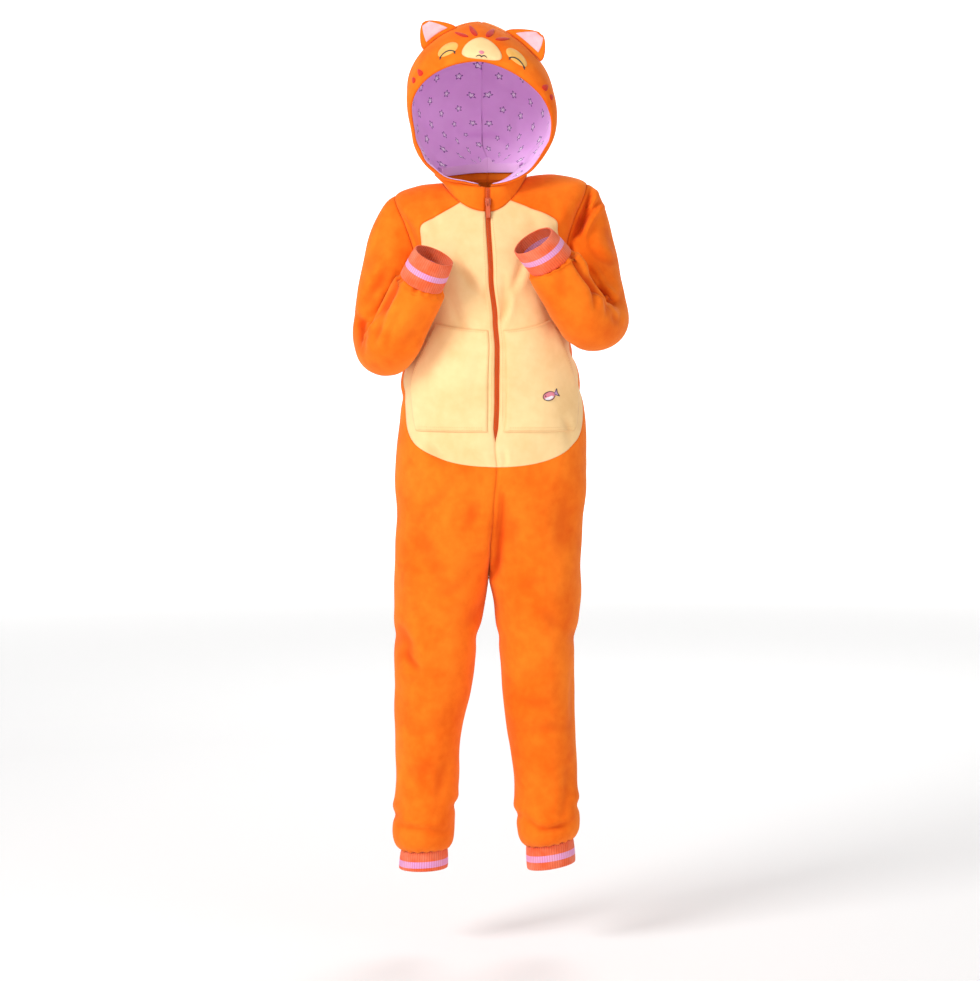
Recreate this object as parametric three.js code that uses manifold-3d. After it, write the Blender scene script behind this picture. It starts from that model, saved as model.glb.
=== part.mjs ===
// A child's hooded cat onesie in plush fleece, in the hollow shape that it has when worn.
// Millimetres, +Z up, the front faces -Y, and the wearer's left is +X.
// The origin is the middle of the neck opening at the level of the shoulder seams.
import * as THREE from 'three';
import { mergeVertices } from 'three/addons/utils/BufferGeometryUtils.js';
import Module from 'manifold-3d';

// Cloth and seams
const fleece = 2.4; // thickness of the plush
const hoodFleece = 2.8;
const liningCloth = 1.0;
const liningGap = 0.9; // room between the hood and its lining, which hangs a little loose
const ribKnit = 2.0;
const pocketCloth = 1.8;
const feltPatch = 1.2;
const seamGap = 0.3;
const halfSeam = 0.0004; // half of a seam's gap, as a share of the way round the body
const insetSeam = 0.0007; // the same round the belly, where the seam runs across

// Zip
const zipOpening = 4.6; // half width of the slot that the zip lies in
const zipEnd = -402;
const zipTaper = 34; // the slot narrows to its end over this length
const chainEndRow = 9.8;
const chainHalfWidth = 3.2;
const chainDepth = { front: -0.2, back: -3.1 }; // the back lies in the tapes
const tapeEdge = 1; // the two tapes stop this far from the middle, under the chain
const tapeCloth = 0.8;
const slider = { width: 9, depth: 4.2, height: 13, rise: 0.4, bridgeWidth: 1.8, bridgeReach: 4.4, bridgeBar: 1.4, bridgeHalf: 4.9 };
const pull = { width: 6.2, depth: 1.3, length: 25, slotHalf: 1.75, slotLength: 6, bar: 1.3, tilt: 7 };

// How many steps each piece has
const steps = { bodyAcross: 8, pocketAcross: 5, bellySide: 2, armhole: 8, sleeveCap: 5, hoodHalf: 12, cuff: 22, patch: 6 };

// The centre front and back lines: the zip sags to the wearer's left and the crotch seam comes back
const centreLine = [
  { z: 40, x: -3 },
  { z: -20, x: -3 },
  { z: -42, x: -3 },
  { z: -140, x: 1.5 },
  { z: -207, x: 8 },
  { z: -250, x: 11 },
  { z: -330, x: 10.5 },
  { z: -402, x: 8 },
  { z: -435, x: 10.5 },
  { z: -500, x: 6 },
  { z: -565, x: 0.5 },
  { z: -613, x: -2 },
];

// Sections from the neck down to the hips, a row each. side is the seam from shoulder to ankle,
// leg is the share of the section that is already the trouser leg.
const torsoRows = [
  { name: 'neck', frontY: -84, frontZ: -41, backY: 68, backZ: 12, leg: 0 },
  { name: 'yoke', frontY: -93, frontZ: -66, backY: 80, backZ: -8, leg: 0 },
  { name: 'shoulder point', frontY: -99, frontZ: -94, backY: 89, backZ: -42, leg: 0 },
  { name: 'upper chest', frontY: -103, frontZ: -120, backY: 95, backZ: -82, leg: 0 },
  { name: 'chest', frontY: -106, frontZ: -150, backY: 97, backZ: -124, leg: 0 },
  { name: 'underarm', frontY: -108, frontZ: -180, backY: 97, backZ: -165, leg: 0 },
  { name: 'ribs', frontY: -110, frontZ: -212, backY: 95, backZ: -208, leg: 0 },
  { name: 'above waist', frontY: -112, frontZ: -250, backY: 92, backZ: -250, leg: 0 },
  { name: 'waist', frontY: -114, frontZ: -292, backY: 92, backZ: -292, leg: 0 },
  { name: 'belly', frontY: -114, frontZ: -346, backY: 97, backZ: -346, leg: 0 },
  { name: 'hip', frontY: -111, frontZ: -405, backY: 105, backZ: -405, leg: 0 },
  { name: 'seat', frontY: -107, frontZ: -466, backY: 110, backZ: -466, leg: 0.03 },
  { name: 'low seat', frontY: -102, frontZ: -525, backY: 108, backZ: -525, leg: 0.14 },
  { name: 'rise', frontY: -98, frontZ: -575, backY: 102, backZ: -575, leg: 0.45 },
  { name: 'crotch', frontY: -88, frontZ: -613, backY: 92, backZ: -613, leg: 1 },
];

// The seam line of each side for the same rows: x from the middle, and z
const sideRows = {
  right: [
    { x: 74, z: 6 }, { x: 112, z: 1 }, { x: 148, z: -14 }, { x: 140, z: -50 }, { x: 127, z: -94 },
    { x: 119, z: -140 }, { x: 116, z: -188 }, { x: 123, z: -238 }, { x: 137, z: -288 },
    { x: 140, z: -346 }, { x: 147, z: -405 }, { x: 148, z: -466 }, { x: 148, z: -525 },
    { x: 149, z: -575 }, { x: 150, z: -613 },
  ],
  left: [
    { x: 58, z: 16 }, { x: 104, z: 19 }, { x: 150, z: 4 }, { x: 142, z: -36 }, { x: 128, z: -80 },
    { x: 119, z: -127 }, { x: 116, z: -178 }, { x: 122, z: -230 }, { x: 135, z: -286 },
    { x: 147, z: -346 }, { x: 151, z: -405 }, { x: 150, z: -466 }, { x: 145, z: -525 },
    { x: 144, z: -575 }, { x: 143, z: -613 },
  ],
};

// Rows of each trouser leg below the crotch: x of the outer and inner seams from the middle,
// y of the front and back creases, and the height at each seam.
const legRows = {
  right: [
    { name: 'thigh', outerX: 151, innerX: 9, frontY: -85, backY: 88, outerZ: -655, innerZ: -655 },
    { name: 'above knee', outerX: 151, innerX: 21, frontY: -78, backY: 80, outerZ: -725, innerZ: -725 },
    { name: 'knee', outerX: 150, innerX: 32, frontY: -69, backY: 72, outerZ: -800, innerZ: -800 },
    { name: 'calf', outerX: 151, innerX: 47, frontY: -60, backY: 70, outerZ: -868, innerZ: -868 },
    { name: 'low calf', outerX: 148, innerX: 49, frontY: -55, backY: 65, outerZ: -930, innerZ: -930 },
    { name: 'fold', outerX: 153, innerX: 54, frontY: -55, backY: 63, outerZ: -984, innerZ: -984 },
    { name: 'blouse', outerX: 155, innerX: 57, frontY: -54, backY: 62, outerZ: -1016, innerZ: -1018 },
    { name: 'gather', outerX: 150, innerX: 61, frontY: -48, backY: 56, outerZ: -1035, innerZ: -1034 },
    { name: 'ankle', outerX: 141, innerX: 67, frontY: -38, backY: 47, outerZ: -1044, innerZ: -1040 },
  ],
  left: [
    { name: 'thigh', outerX: 141, innerX: 7, frontY: -84, backY: 87, outerZ: -655, innerZ: -655 },
    { name: 'above knee', outerX: 134, innerX: 14, frontY: -76, backY: 80, outerZ: -725, innerZ: -725 },
    { name: 'knee', outerX: 133, innerX: 20, frontY: -67, backY: 72, outerZ: -800, innerZ: -800 },
    { name: 'calf', outerX: 136, innerX: 30, frontY: -59, backY: 70, outerZ: -866, innerZ: -868 },
    { name: 'low calf', outerX: 138, innerX: 37, frontY: -55, backY: 65, outerZ: -926, innerZ: -930 },
    { name: 'fold', outerX: 141, innerX: 40, frontY: -55, backY: 63, outerZ: -976, innerZ: -984 },
    { name: 'blouse', outerX: 141, innerX: 43, frontY: -54, backY: 62, outerZ: -1005, innerZ: -1016 },
    { name: 'gather', outerX: 137, innerX: 49, frontY: -48, backY: 56, outerZ: -1018, innerZ: -1031 },
    { name: 'ankle', outerX: 132, innerX: 57, frontY: -38, backY: 47, outerZ: -1025, innerZ: -1037 },
  ],
};
const legCuffs = {
  right: { drop: 31, outerX: 144, innerX: 67, frontY: -38, backY: 46, tilt: 2 },
  left: { drop: 37, outerX: 135, innerX: 59, frontY: -38, backY: 46, tilt: 0 },
};

// Places in the table above, counted in rows from the neck
const crotchRow = torsoRows.length - 1;
const ankleRow = crotchRow + legRows.left.length;
const armhole = { top: 2, bottom: 5.1, reach: 0.13 };
const belly = { widest: 8.45, end: 10.44, reach: 0.435 };
const bellyTop = [{ share: 0.19 }, { share: 0.205 }, { share: 0.23 }, { share: 0.265 }, { share: 0.305 },
  { share: 0.35 }, { share: 0.39 }, { share: 0.418 }, { share: 0.433 }, { share: 0.435 }];
// The pockets' outer edge, in the same rows and shares: slanted for the hand, then straight down
const pocketRows = { top: 6.3, bottom: 9.54 };
const pocketEdges = [{ share: 0.1 }, { share: 0.11 }, { share: 0.125 }, { share: 0.145 }, { share: 0.17 },
  { share: 0.205 }, { share: 0.25 }, { share: 0.3 }, { share: 0.34 }, { share: 0.355 }, { share: 0.34 }];

// Arms, bent up to the chin. Rows run from under the armhole round the elbow to the wrist.
// back, crook and broad are the half sizes away from the bend, into it and across it.
const armRows = {
  right: [
    { name: 'bicep', x: 163, y: -16, z: -166, back: 50, crook: 44, broad: 42 },
    { name: 'above elbow', x: 167, y: -22, z: -200, back: 49, crook: 38, broad: 43 },
    { name: 'bend in', x: 169, y: -33, z: -232, back: 47, crook: 31, broad: 43 },
    { name: 'elbow', x: 162, y: -66, z: -252, back: 41, crook: 28, broad: 44 },
    { name: 'bend out', x: 146, y: -97, z: -233, back: 41, crook: 31, broad: 43 },
    { name: 'forearm', x: 127, y: -114, z: -196, back: 41, crook: 37, broad: 42 },
    { name: 'blouse', x: 109, y: -127.2, z: -159, back: 41, crook: 40, broad: 41 },
    { name: 'wrist', x: 104, y: -131, z: -149, back: 35, crook: 35, broad: 35 },
    { name: 'cuff end', x: 84.5, y: -147, z: -109, back: 31, crook: 31, broad: 31 },
  ],
  left: [
    { name: 'bicep', x: 162, y: -19, z: -150, back: 50, crook: 44, broad: 42 },
    { name: 'above elbow', x: 167, y: -27, z: -176, back: 49, crook: 38, broad: 43 },
    { name: 'bend in', x: 170, y: -42, z: -202, back: 47, crook: 31, broad: 43 },
    { name: 'elbow', x: 160, y: -77, z: -214, back: 41, crook: 29, broad: 44 },
    { name: 'bend out', x: 141, y: -106, z: -197, back: 41, crook: 32, broad: 43 },
    { name: 'forearm', x: 119, y: -122, z: -163, back: 41, crook: 37, broad: 42 },
    { name: 'blouse', x: 98, y: -132.8, z: -127, back: 42, crook: 41, broad: 42 },
    { name: 'wrist', x: 92, y: -136, z: -118, back: 36, crook: 36, broad: 36 },
    { name: 'cuff end', x: 65, y: -150, z: -87, back: 33, crook: 33, broad: 33 },
  ],
};
const wristRow = 7;
const cuffEndRow = 8;

// Collar: the ring that the hood stands on
const collarTop = { frontY: -81, frontZ: -3, backY: 66, backZ: 31 };
const collarSides = { right: { x: 72, z: 22 }, left: { x: 56, z: 30 } };

// Hood: arches that fan out from the opening to the nape. around is where an arch stands on the
// collar, waist the height of its widest place as a share, bow how far its sides lie back.
const hoodRows = [
  { name: 'opening', around: 0.035, topY: -97, topZ: 186, half: 109, waist: 0.55, bow: 17 },
  { name: 'rim', around: 0.1, topY: -99, topZ: 199, half: 113, waist: 0.53, bow: 23 },
  { name: 'brow', around: 0.17, topY: -82, topZ: 227, half: 115.5, waist: 0.5, bow: 20 },
  { name: 'ear seam', around: 0.27, topY: -42, topZ: 248, half: 116.5, waist: 0.48, bow: 10 },
  { name: 'crown', around: 0.4, topY: 5, topZ: 253, half: 116, waist: 0.46, bow: 0 },
  { name: 'back crown', around: 0.52, topY: 56, topZ: 240, half: 112, waist: 0.45, bow: -6 },
  { name: 'back', around: 0.64, topY: 100, topZ: 202, half: 105, waist: 0.45, bow: -10 },
  { name: 'low back', around: 0.76, topY: 118, topZ: 148, half: 88, waist: 0.47, bow: -8 },
  { name: 'neck', around: 0.87, topY: 108, topZ: 91, half: 58, waist: 0.5, bow: -4 },
  { name: 'nape', around: 0.985, topY: 70, topZ: 37, half: 13, waist: 0.5, bow: 0 },
];
const earSeamRow = 3;
const napeRow = hoodRows.length - 1;
const hoodLean = { shift: -13, slope: 0.105, from: 16, to: 66 };
const hoodPeak = 1.2; // above the widest place the sides close in faster than on an ellipse

// Ears stand in the seam behind the face. arch is where, from the collar (0) to the middle (1);
// upright turns the ears upwards, back turns them to the rear.
const ear = {
  arch: { right: 0.748, left: 0.765 }, halfBase: 0.1, height: 37, halfThickness: 3, lift: { right: 0.5, left: 1.5 },
  upright: 0.25, back: { right: 0.1, left: 0.45 },
};
const earRows = [
  { rise: 0, width: 1, thick: 1 },
  { rise: 0.2, width: 0.95, thick: 1 },
  { rise: 0.45, width: 0.76, thick: 0.95 },
  { rise: 0.68, width: 0.53, thick: 0.85 },
  { rise: 0.87, width: 0.3, thick: 0.7 },
  { rise: 0.97, width: 0.12, thick: 0.5 },
];
const earColumns = [-1, -0.62, -0.3, 0, 0.3, 0.62, 1];
const earInner = { firstRow: 0, lastRow: 4, firstColumn: 1, lastColumn: 5 };

// The felt muzzle on the hood: v and m are its middle, where m is 0 in the middle of the hood and
// grows to the wearer's left; reachV and reachM are its half sizes.
const muzzle = { v: 1.12, m: 0, reachV: 0.72, reachM: 0.115 };

const colours = {
  plush: 0xff7a10, cream: 0xfddfa5, rib: 0xf2703c, lilac: 0xcf9ad2, pink: 0xfcbec8,
  zip: 0xc8501e, metal: 0xb0723c,
};

// Small helpers

const sides = { right: -1, left: 1 };
const clamp = (value, low, high) => Math.min(high, Math.max(low, value));
const mix = (a, b, share) => a + (b - a) * share;
const smooth = (share) => share * share * (3 - 2 * share);
const ramp = (from, to, value) => smooth(clamp((value - from) / (to - from), 0, 1));
const range = (from, to, count) => Array.from({ length: count + 1 }, (_, i) => mix(from, to, i / count));

// A smooth value of one column of a table at the place t, which counts rows.
function column(table, key, t) {
  const last = table.length - 1;
  const row = clamp(Math.floor(t), 0, last - 1);
  const share = t - row;
  const at = (i) => table[clamp(i, 0, last)][key];
  const [a, b, c, d] = [at(row - 1), at(row), at(row + 1), at(row + 2)];
  if (share < 0 || share > 1) return mix(b, c, share);
  return 0.5 * (2 * b + (c - a) * share + (2 * a - 5 * b + 4 * c - d) * share ** 2
    + (3 * b - a - 3 * c + d) * share ** 3);
}

function centreX(z) {
  const after = centreLine.findIndex((row) => row.z < z);
  if (after < 1) return centreLine[after === 0 ? 0 : centreLine.length - 1].x;
  const [a, b] = [centreLine[after - 1], centreLine[after]];
  return mix(a.x, b.x, smooth((a.z - z) / (a.z - b.z)));
}

// A surface is a function of two numbers. This is its unit normal, pointing to the given side.
function normalOf(surface, a, b, turn) {
  const step = 1e-3;
  const alongA = surface(a + step, b).sub(surface(a - step, b));
  const alongB = surface(a, b + step).sub(surface(a, b - step));
  return alongA.cross(alongB).multiplyScalar(turn).normalize();
}

// A closed wall of cloth over a grid of places on a surface. outer and inner are how far its two
// faces lie above the surface; round joins the last column to the first.
function clothWall(grid, outer, inner, round = false) {
  const rows = grid.length;
  const columns = grid[0].length;
  const positions = [];
  for (const lift of [outer, inner])
    for (const row of grid)
      for (const { point, normal } of row) positions.push(...point.clone().addScaledVector(normal, lift));
  const at = (face, i, j) => face * rows * columns + i * columns + (j % columns);
  const index = [];
  const quad = (a, b, c, d) => index.push(a, b, c, a, c, d);
  const lastColumn = round ? columns : columns - 1;
  for (let i = 0; i < rows - 1; i++)
    for (let j = 0; j < lastColumn; j++) {
      quad(at(0, i, j), at(0, i + 1, j), at(0, i + 1, j + 1), at(0, i, j + 1));
      quad(at(1, i, j), at(1, i, j + 1), at(1, i + 1, j + 1), at(1, i + 1, j));
    }
  for (let j = 0; j < lastColumn; j++) {
    quad(at(0, 0, j), at(0, 0, j + 1), at(1, 0, j + 1), at(1, 0, j));
    quad(at(0, rows - 1, j + 1), at(0, rows - 1, j), at(1, rows - 1, j), at(1, rows - 1, j + 1));
  }
  if (!round)
    for (let i = 0; i < rows - 1; i++) {
      quad(at(0, i + 1, 0), at(0, i, 0), at(1, i, 0), at(1, i + 1, 0));
      quad(at(0, i, columns - 1), at(0, i + 1, columns - 1), at(1, i + 1, columns - 1), at(1, i, columns - 1));
    }
  return facingOut(positions, index);
}

// The geometry of a closed mesh, turned round if its faces point inwards.
function facingOut(positions, index) {
  const corner = (i) => new THREE.Vector3().fromArray(positions, 3 * i);
  let volume = 0;
  for (let i = 0; i < index.length; i += 3)
    volume += corner(index[i]).dot(corner(index[i + 1]).cross(corner(index[i + 2])));
  if (volume < 0) for (let i = 0; i < index.length; i += 3) [index[i], index[i + 1]] = [index[i + 1], index[i]];
  const geometry = new THREE.BufferGeometry();
  geometry.setAttribute('position', new THREE.Float32BufferAttribute(positions, 3));
  geometry.setIndex(index);
  geometry.computeVertexNormals();
  return geometry;
}

const onesie = new THREE.Group();

function addPiece(name, geometry, colour, roughness = 0.95, metalness = 0) {
  const material = new THREE.MeshStandardMaterial({ color: colour, roughness, metalness });
  material.name = name;
  const mesh = new THREE.Mesh(geometry, material);
  mesh.name = name;
  onesie.add(mesh);
  return mesh;
}

// Body

// The place of the body's cloth on one side. t counts the rows from the neck to the ankle;
// u goes from the centre front (0) by the side seam (0.5) to the centre back (1).
function bodySurface(side) {
  const sign = sides[side];
  const legAt = (key, t) => column(legTable[side], key, t - crotchRow);
  return (t, u) => {
    const whole = Math.PI * 2 * u;
    const half = Math.PI * u;
    const torso = new THREE.Vector3();
    const leg = new THREE.Vector3();
    const above = Math.min(t, crotchRow);
    const share = t >= crotchRow ? 1 : column(torsoRows, 'leg', above);
    const frontY = column(torsoRows, 'frontY', above);
    const backY = column(torsoRows, 'backY', above);
    if (share < 1) {
      const frontZ = column(torsoRows, 'frontZ', above);
      const backZ = column(torsoRows, 'backZ', above);
      const sideX = column(sideRows[side], 'x', above);
      const sideZ = column(sideRows[side], 'z', above);
      const front = Math.cos(half) >= 0;
      const depth = Math.abs(Math.cos(half)) ** 0.92;
      const z = mix(sideZ, front ? frontZ : backZ, Math.cos(half) ** 2);
      torso.set(sideX * Math.sign(Math.sin(half)) * Math.abs(Math.sin(half)) ** 0.92, (front ? frontY : backY) * depth, z);
    }
    const outer = t < crotchRow ? column(sideRows[side], 'x', t) : legAt('outerX', t);
    const inner = t < crotchRow ? 0.2 : legAt('innerX', t);
    const near = t < crotchRow ? frontY : legAt('frontY', t);
    const far = t < crotchRow ? backY : legAt('backY', t);
    const outerZ = t < crotchRow ? column(sideRows[side], 'z', t) : legAt('outerZ', t);
    const innerZ = t < crotchRow ? column(torsoRows, 'frontZ', t) : legAt('innerZ', t);
    leg.set(
      (outer + inner) / 2 - ((outer - inner) / 2) * Math.cos(whole),
      (near + far) / 2 - ((far - near) / 2) * Math.sin(whole),
      mix(innerZ, outerZ, (1 - Math.cos(whole)) / 2),
    );
    const place = torso.lerp(leg, share);
    place.x = sign * place.x + centreX(place.z) * (1 - ramp(crotchRow, crotchRow + 1, t)) * Math.abs(Math.cos(half));
    return place;
  };
}

// The leg's rows with the crotch as their first one, so that the two tables join smoothly
const legTable = Object.fromEntries(Object.entries(legRows).map(([side, rows]) => {
  const crotch = torsoRows[crotchRow];
  const seam = sideRows[side][crotchRow];
  const first = {
    name: 'crotch', outerX: seam.x, innerX: 0.2, frontY: crotch.frontY, backY: crotch.backY,
    outerZ: seam.z, innerZ: crotch.frontZ,
  };
  return [side, [first, ...rows]];
}));

// A place on the body with its normal. At the centre seams the normal never leans over the seam.
function bodyPlace(side, t, u) {
  const surface = bodySurface(side);
  const point = surface(t, u);
  const normal = normalOf(surface, t, u, sides[side]);
  const atCentre = t <= crotchRow && Math.min(u, 1 - u) < 0.004;
  if (atCentre && normal.x * sides[side] > 0) {
    normal.x = 0;
    normal.normalize();
  }
  return { point, normal };
}

const armholeRows = range(0, Math.PI, steps.armhole).map(
  (turn) => mix(armhole.top, armhole.bottom, (1 - Math.cos(turn)) / 2));
const bellyAngles = [0, 16.6, 33.2, 49.8, 66.4, 78, 86].map((angle) => angle * Math.PI / 180);
const bellyCurveRows = bellyAngles.map((angle) => mix(belly.widest, belly.end, Math.sin(angle)));

// How far the armhole cuts into a panel at a row, as a share of the way round
function armholeCut(t) {
  const across = (2 * (t - armhole.top)) / (armhole.bottom - armhole.top) - 1;
  return Math.abs(across) >= 1 ? 0 : armhole.reach * Math.sqrt(1 - across ** 2);
}

// The edge of the belly panel at a row: an egg, narrow at the collar and round below
function bellyEdge(t) {
  if (t >= belly.end) return 0;
  if (t <= belly.widest) return column(bellyTop, 'share', t);
  return belly.reach * Math.sqrt(1 - ((t - belly.widest) / (belly.end - belly.widest)) ** 2);
}

// Half the width of the slot for the zip, as a share of the way round
function zipEdge(side, t) {
  const z = column(torsoRows, 'frontZ', t);
  const half = zipOpening * ramp(zipEnd, zipEnd + zipTaper, z);
  const sideX = column(sideRows[side], 'x', t);
  return Math.max(halfSeam, Math.asin((half / sideX) ** (1 / 0.92)) / Math.PI);
}

// The belly's columns at a row: a strip by the zip, the width of the pocket, and the rest
function bellyColumns(side, t) {
  const first = zipEdge(side, t);
  const last = bellyEdge(t) - insetSeam;
  const start = mix(first, last, 0.045);
  const pocketEdge = Math.min(column(pocketEdges, 'share', t), mix(start, last, 0.82));
  return [first, ...range(start, pocketEdge, steps.pocketAcross), ...range(pocketEdge, last, steps.bellySide).slice(1)];
}

const upperRows = [0, 0.5, 1, 1.5];
const hipRows = [10.8, 11.6, 12.3, 12.9, 13.4, 13.75, 14];
const lowerRows = [14.35, 15, 15.8, 16.6, 17.4, 18.2, 19, 19.8, 20.5, 21, 21.5, 22, 22.5, 23];

function panelGrid(side, rows, from, to, across) {
  return rows.map((t) => range(from(t), to(t), across).map((u) => bodyPlace(side, t, u)));
}

for (const side of Object.keys(sides)) {
  const frontRows = [...upperRows, ...armholeRows, 5.7, 6.3, 7, 7.7, ...bellyCurveRows, ...hipRows, ...lowerRows];
  const backRows = [...upperRows, ...armholeRows, 5.9, 6.8, 7.7, 8.6, 9.4, 10.1, ...hipRows, ...lowerRows];
  const bellyRows = [...upperRows, ...armholeRows, 5.7, 6.3, 7, 7.7, ...bellyCurveRows];
  const front = panelGrid(side, frontRows, (t) => bellyEdge(t) + (t < belly.end ? insetSeam : halfSeam),
    (t) => 0.5 - armholeCut(t) - halfSeam, steps.bodyAcross - 1);
  addPiece(`front_${side}`, clothWall(front, 0, -fleece), colours.plush);
  const back = panelGrid(side, backRows, (t) => 0.5 + armholeCut(t) + halfSeam, () => 1 - halfSeam, steps.bodyAcross);
  addPiece(`back_${side}`, clothWall(back, 0, -fleece), colours.plush);
  const inset = bellyRows.map((t) => bellyColumns(side, t).map((u) => bodyPlace(side, t, u)));
  addPiece(`belly_${side}`, clothWall(inset, 0, -fleece), colours.cream);
  // The pocket lies on the belly: the same places, moved out
  const covered = inset.filter((_, i) => bellyRows[i] >= pocketRows.top && bellyRows[i] <= pocketRows.bottom + 1e-6);
  const pocket = covered.map((row) => row.slice(1, 2 + steps.pocketAcross));
  addPiece(`pocket_${side}`, clothWall(pocket, seamGap + pocketCloth, seamGap), colours.cream);
}

// Leg cuffs: a short tube of rib below each ankle
for (const [side, cuff] of Object.entries(legCuffs)) {
  const ankle = legRows[side].at(-1);
  const rows = [
    { outerX: ankle.outerX, innerX: ankle.innerX, frontY: ankle.frontY, backY: ankle.backY, outerZ: ankle.outerZ - seamGap, innerZ: ankle.innerZ - seamGap },
    { outerX: cuff.outerX, innerX: cuff.innerX, frontY: cuff.frontY, backY: cuff.backY, outerZ: ankle.outerZ - cuff.drop + cuff.tilt, innerZ: ankle.innerZ - cuff.drop },
  ];
  const surface = (t, u) => {
    const at = (key) => mix(rows[0][key], rows[1][key], t);
    const turn = 2 * Math.PI * u;
    return new THREE.Vector3(
      sides[side] * ((at('outerX') + at('innerX')) / 2 - ((at('outerX') - at('innerX')) / 2) * Math.cos(turn)),
      (at('frontY') + at('backY')) / 2 - ((at('backY') - at('frontY')) / 2) * Math.sin(turn),
      mix(at('innerZ'), at('outerZ'), (1 - Math.cos(turn)) / 2),
    );
  };
  const grid = range(0, 1, 3).map((t) => range(0, 1, steps.cuff).slice(0, -1).map((u) => (
    { point: surface(t, u), normal: normalOf(surface, t, u, sides[side]) })));
  addPiece(`leg_cuff_${side}`, clothWall(grid, 0, -ribKnit, true), colours.rib);
}

// Sleeves

// The sleeve's cloth. r is 0 at the armhole, 1 at the bicep and counts the rows of the arm's table
// from there. turn goes round from the top by the front and the underarm to the back.
function sleeveSurface(side) {
  const sign = sides[side];
  const rows = armRows[side];
  const body = bodySurface(side);
  const centre = (r) => new THREE.Vector3(sign * column(rows, 'x', r), column(rows, 'y', r), column(rows, 'z', r));
  const [first, elbow, last] = [0, 3, wristRow].map(centre);
  const across = new THREE.Vector3().crossVectors(first.clone().sub(elbow), last.clone().sub(elbow)).normalize();
  if (across.x * sign < 0) across.negate();
  const heading = (r) => centre(r + 0.02).sub(centre(r - 0.02)).normalize();
  const backward = Math.sign(new THREE.Vector3().crossVectors(heading(0), across).y);
  const ring = (r, turn) => {
    const away = new THREE.Vector3().crossVectors(heading(r), across).normalize().multiplyScalar(backward);
    const reach = column(rows, Math.sin(turn) > 0 ? 'crook' : 'back', r);
    return centre(r)
      .addScaledVector(across, column(rows, 'broad', r) * Math.cos(turn))
      .addScaledVector(away, -Math.sin(turn) * reach);
  };
  const root = (turn) => body(mix(armhole.top, armhole.bottom, (1 - Math.cos(turn)) / 2), 0.5 - armhole.reach * Math.sin(turn));
  return (r, turn) => {
    if (r >= 1) return ring(r - 1, turn);
    const low = (1 - Math.cos(turn)) / 2;
    const start = root(turn);
    const end = ring(0, turn);
    const leave = new THREE.Vector3(sign * mix(105, 30, low), -14 * Math.sin(turn), mix(-30, -22, low));
    const arrive = heading(0).multiplyScalar(mix(120, 26, low));
    return hermite(start, leave, end, arrive, r);
  };
}

function hermite(start, leave, end, arrive, share) {
  const s2 = share ** 2;
  const s3 = share ** 3;
  return new THREE.Vector3()
    .addScaledVector(start, 2 * s3 - 3 * s2 + 1)
    .addScaledVector(leave, s3 - 2 * s2 + share)
    .addScaledVector(end, 3 * s2 - 2 * s3)
    .addScaledVector(arrive, s3 - s2);
}

function sleeveGrid(side, rows, columns) {
  const surface = sleeveSurface(side);
  return rows.map((r) => range(0, 2 * Math.PI, columns).slice(0, -1).map((turn) => {
    const inside = clamp(r, 0.002, 1 + cuffEndRow - 0.002);
    return { point: surface(r, turn), normal: normalOf(surface, inside, turn, -sides[side]) };
  }));
}

for (const side of Object.keys(sides)) {
  const cap = range(0.006, 1, steps.sleeveCap);
  const arm = [1.5, 2, 2.5, 3, 3.35, 3.7, 4, 4.3, 4.65, 5, 5.5, 6, 6.5, 7, 7.5, 7.994];
  addPiece(`sleeve_${side}`, clothWall(sleeveGrid(side, [...cap, ...arm], 2 * steps.armhole), 0, -fleece, true), colours.plush);
  const cuff = range(1 + wristRow + 0.006, 1 + cuffEndRow, 3);
  addPiece(`sleeve_cuff_${side}`, clothWall(sleeveGrid(side, cuff, steps.cuff), 0, -ribKnit, true), colours.rib);
}

// Collar and hood

// The ring on which the hood stands, from the centre front (0) to the nape (1)
function collarRing(side, u) {
  const turn = Math.PI * u;
  const front = u < 0.5;
  const place = new THREE.Vector3(
    sides[side] * collarSides[side].x * Math.sin(turn) ** 0.92,
    (front ? collarTop.frontY : collarTop.backY) * Math.abs(Math.cos(turn)) ** 0.92,
    mix(collarSides[side].z, front ? collarTop.frontZ : collarTop.backZ, Math.cos(turn) ** 2),
  );
  place.x += centreX(place.z) * Math.abs(Math.cos(turn));
  return place;
}

for (const side of Object.keys(sides)) {
  const body = bodySurface(side);
  const surface = (t, u) => body(0, clamp(u, 0, 1)).lerp(collarRing(side, clamp(u, 0, 1)), t);
  const grid = [0.012, 0.5, 0.988].map((t) => range(0.0185, 1 - halfSeam, 12).map((u) => {
    const inside = clamp(u, 0.002, 0.998);
    return { point: surface(t, u), normal: normalOf(surface, t, inside, -sides[side]) };
  }));
  for (const row of grid)
    for (const place of [row[0], row.at(-1)]) {
      place.normal.x = 0;
      place.normal.normalize();
    }
  addPiece(`collar_${side}`, clothWall(grid, 0, -fleece), colours.plush);
}

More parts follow.
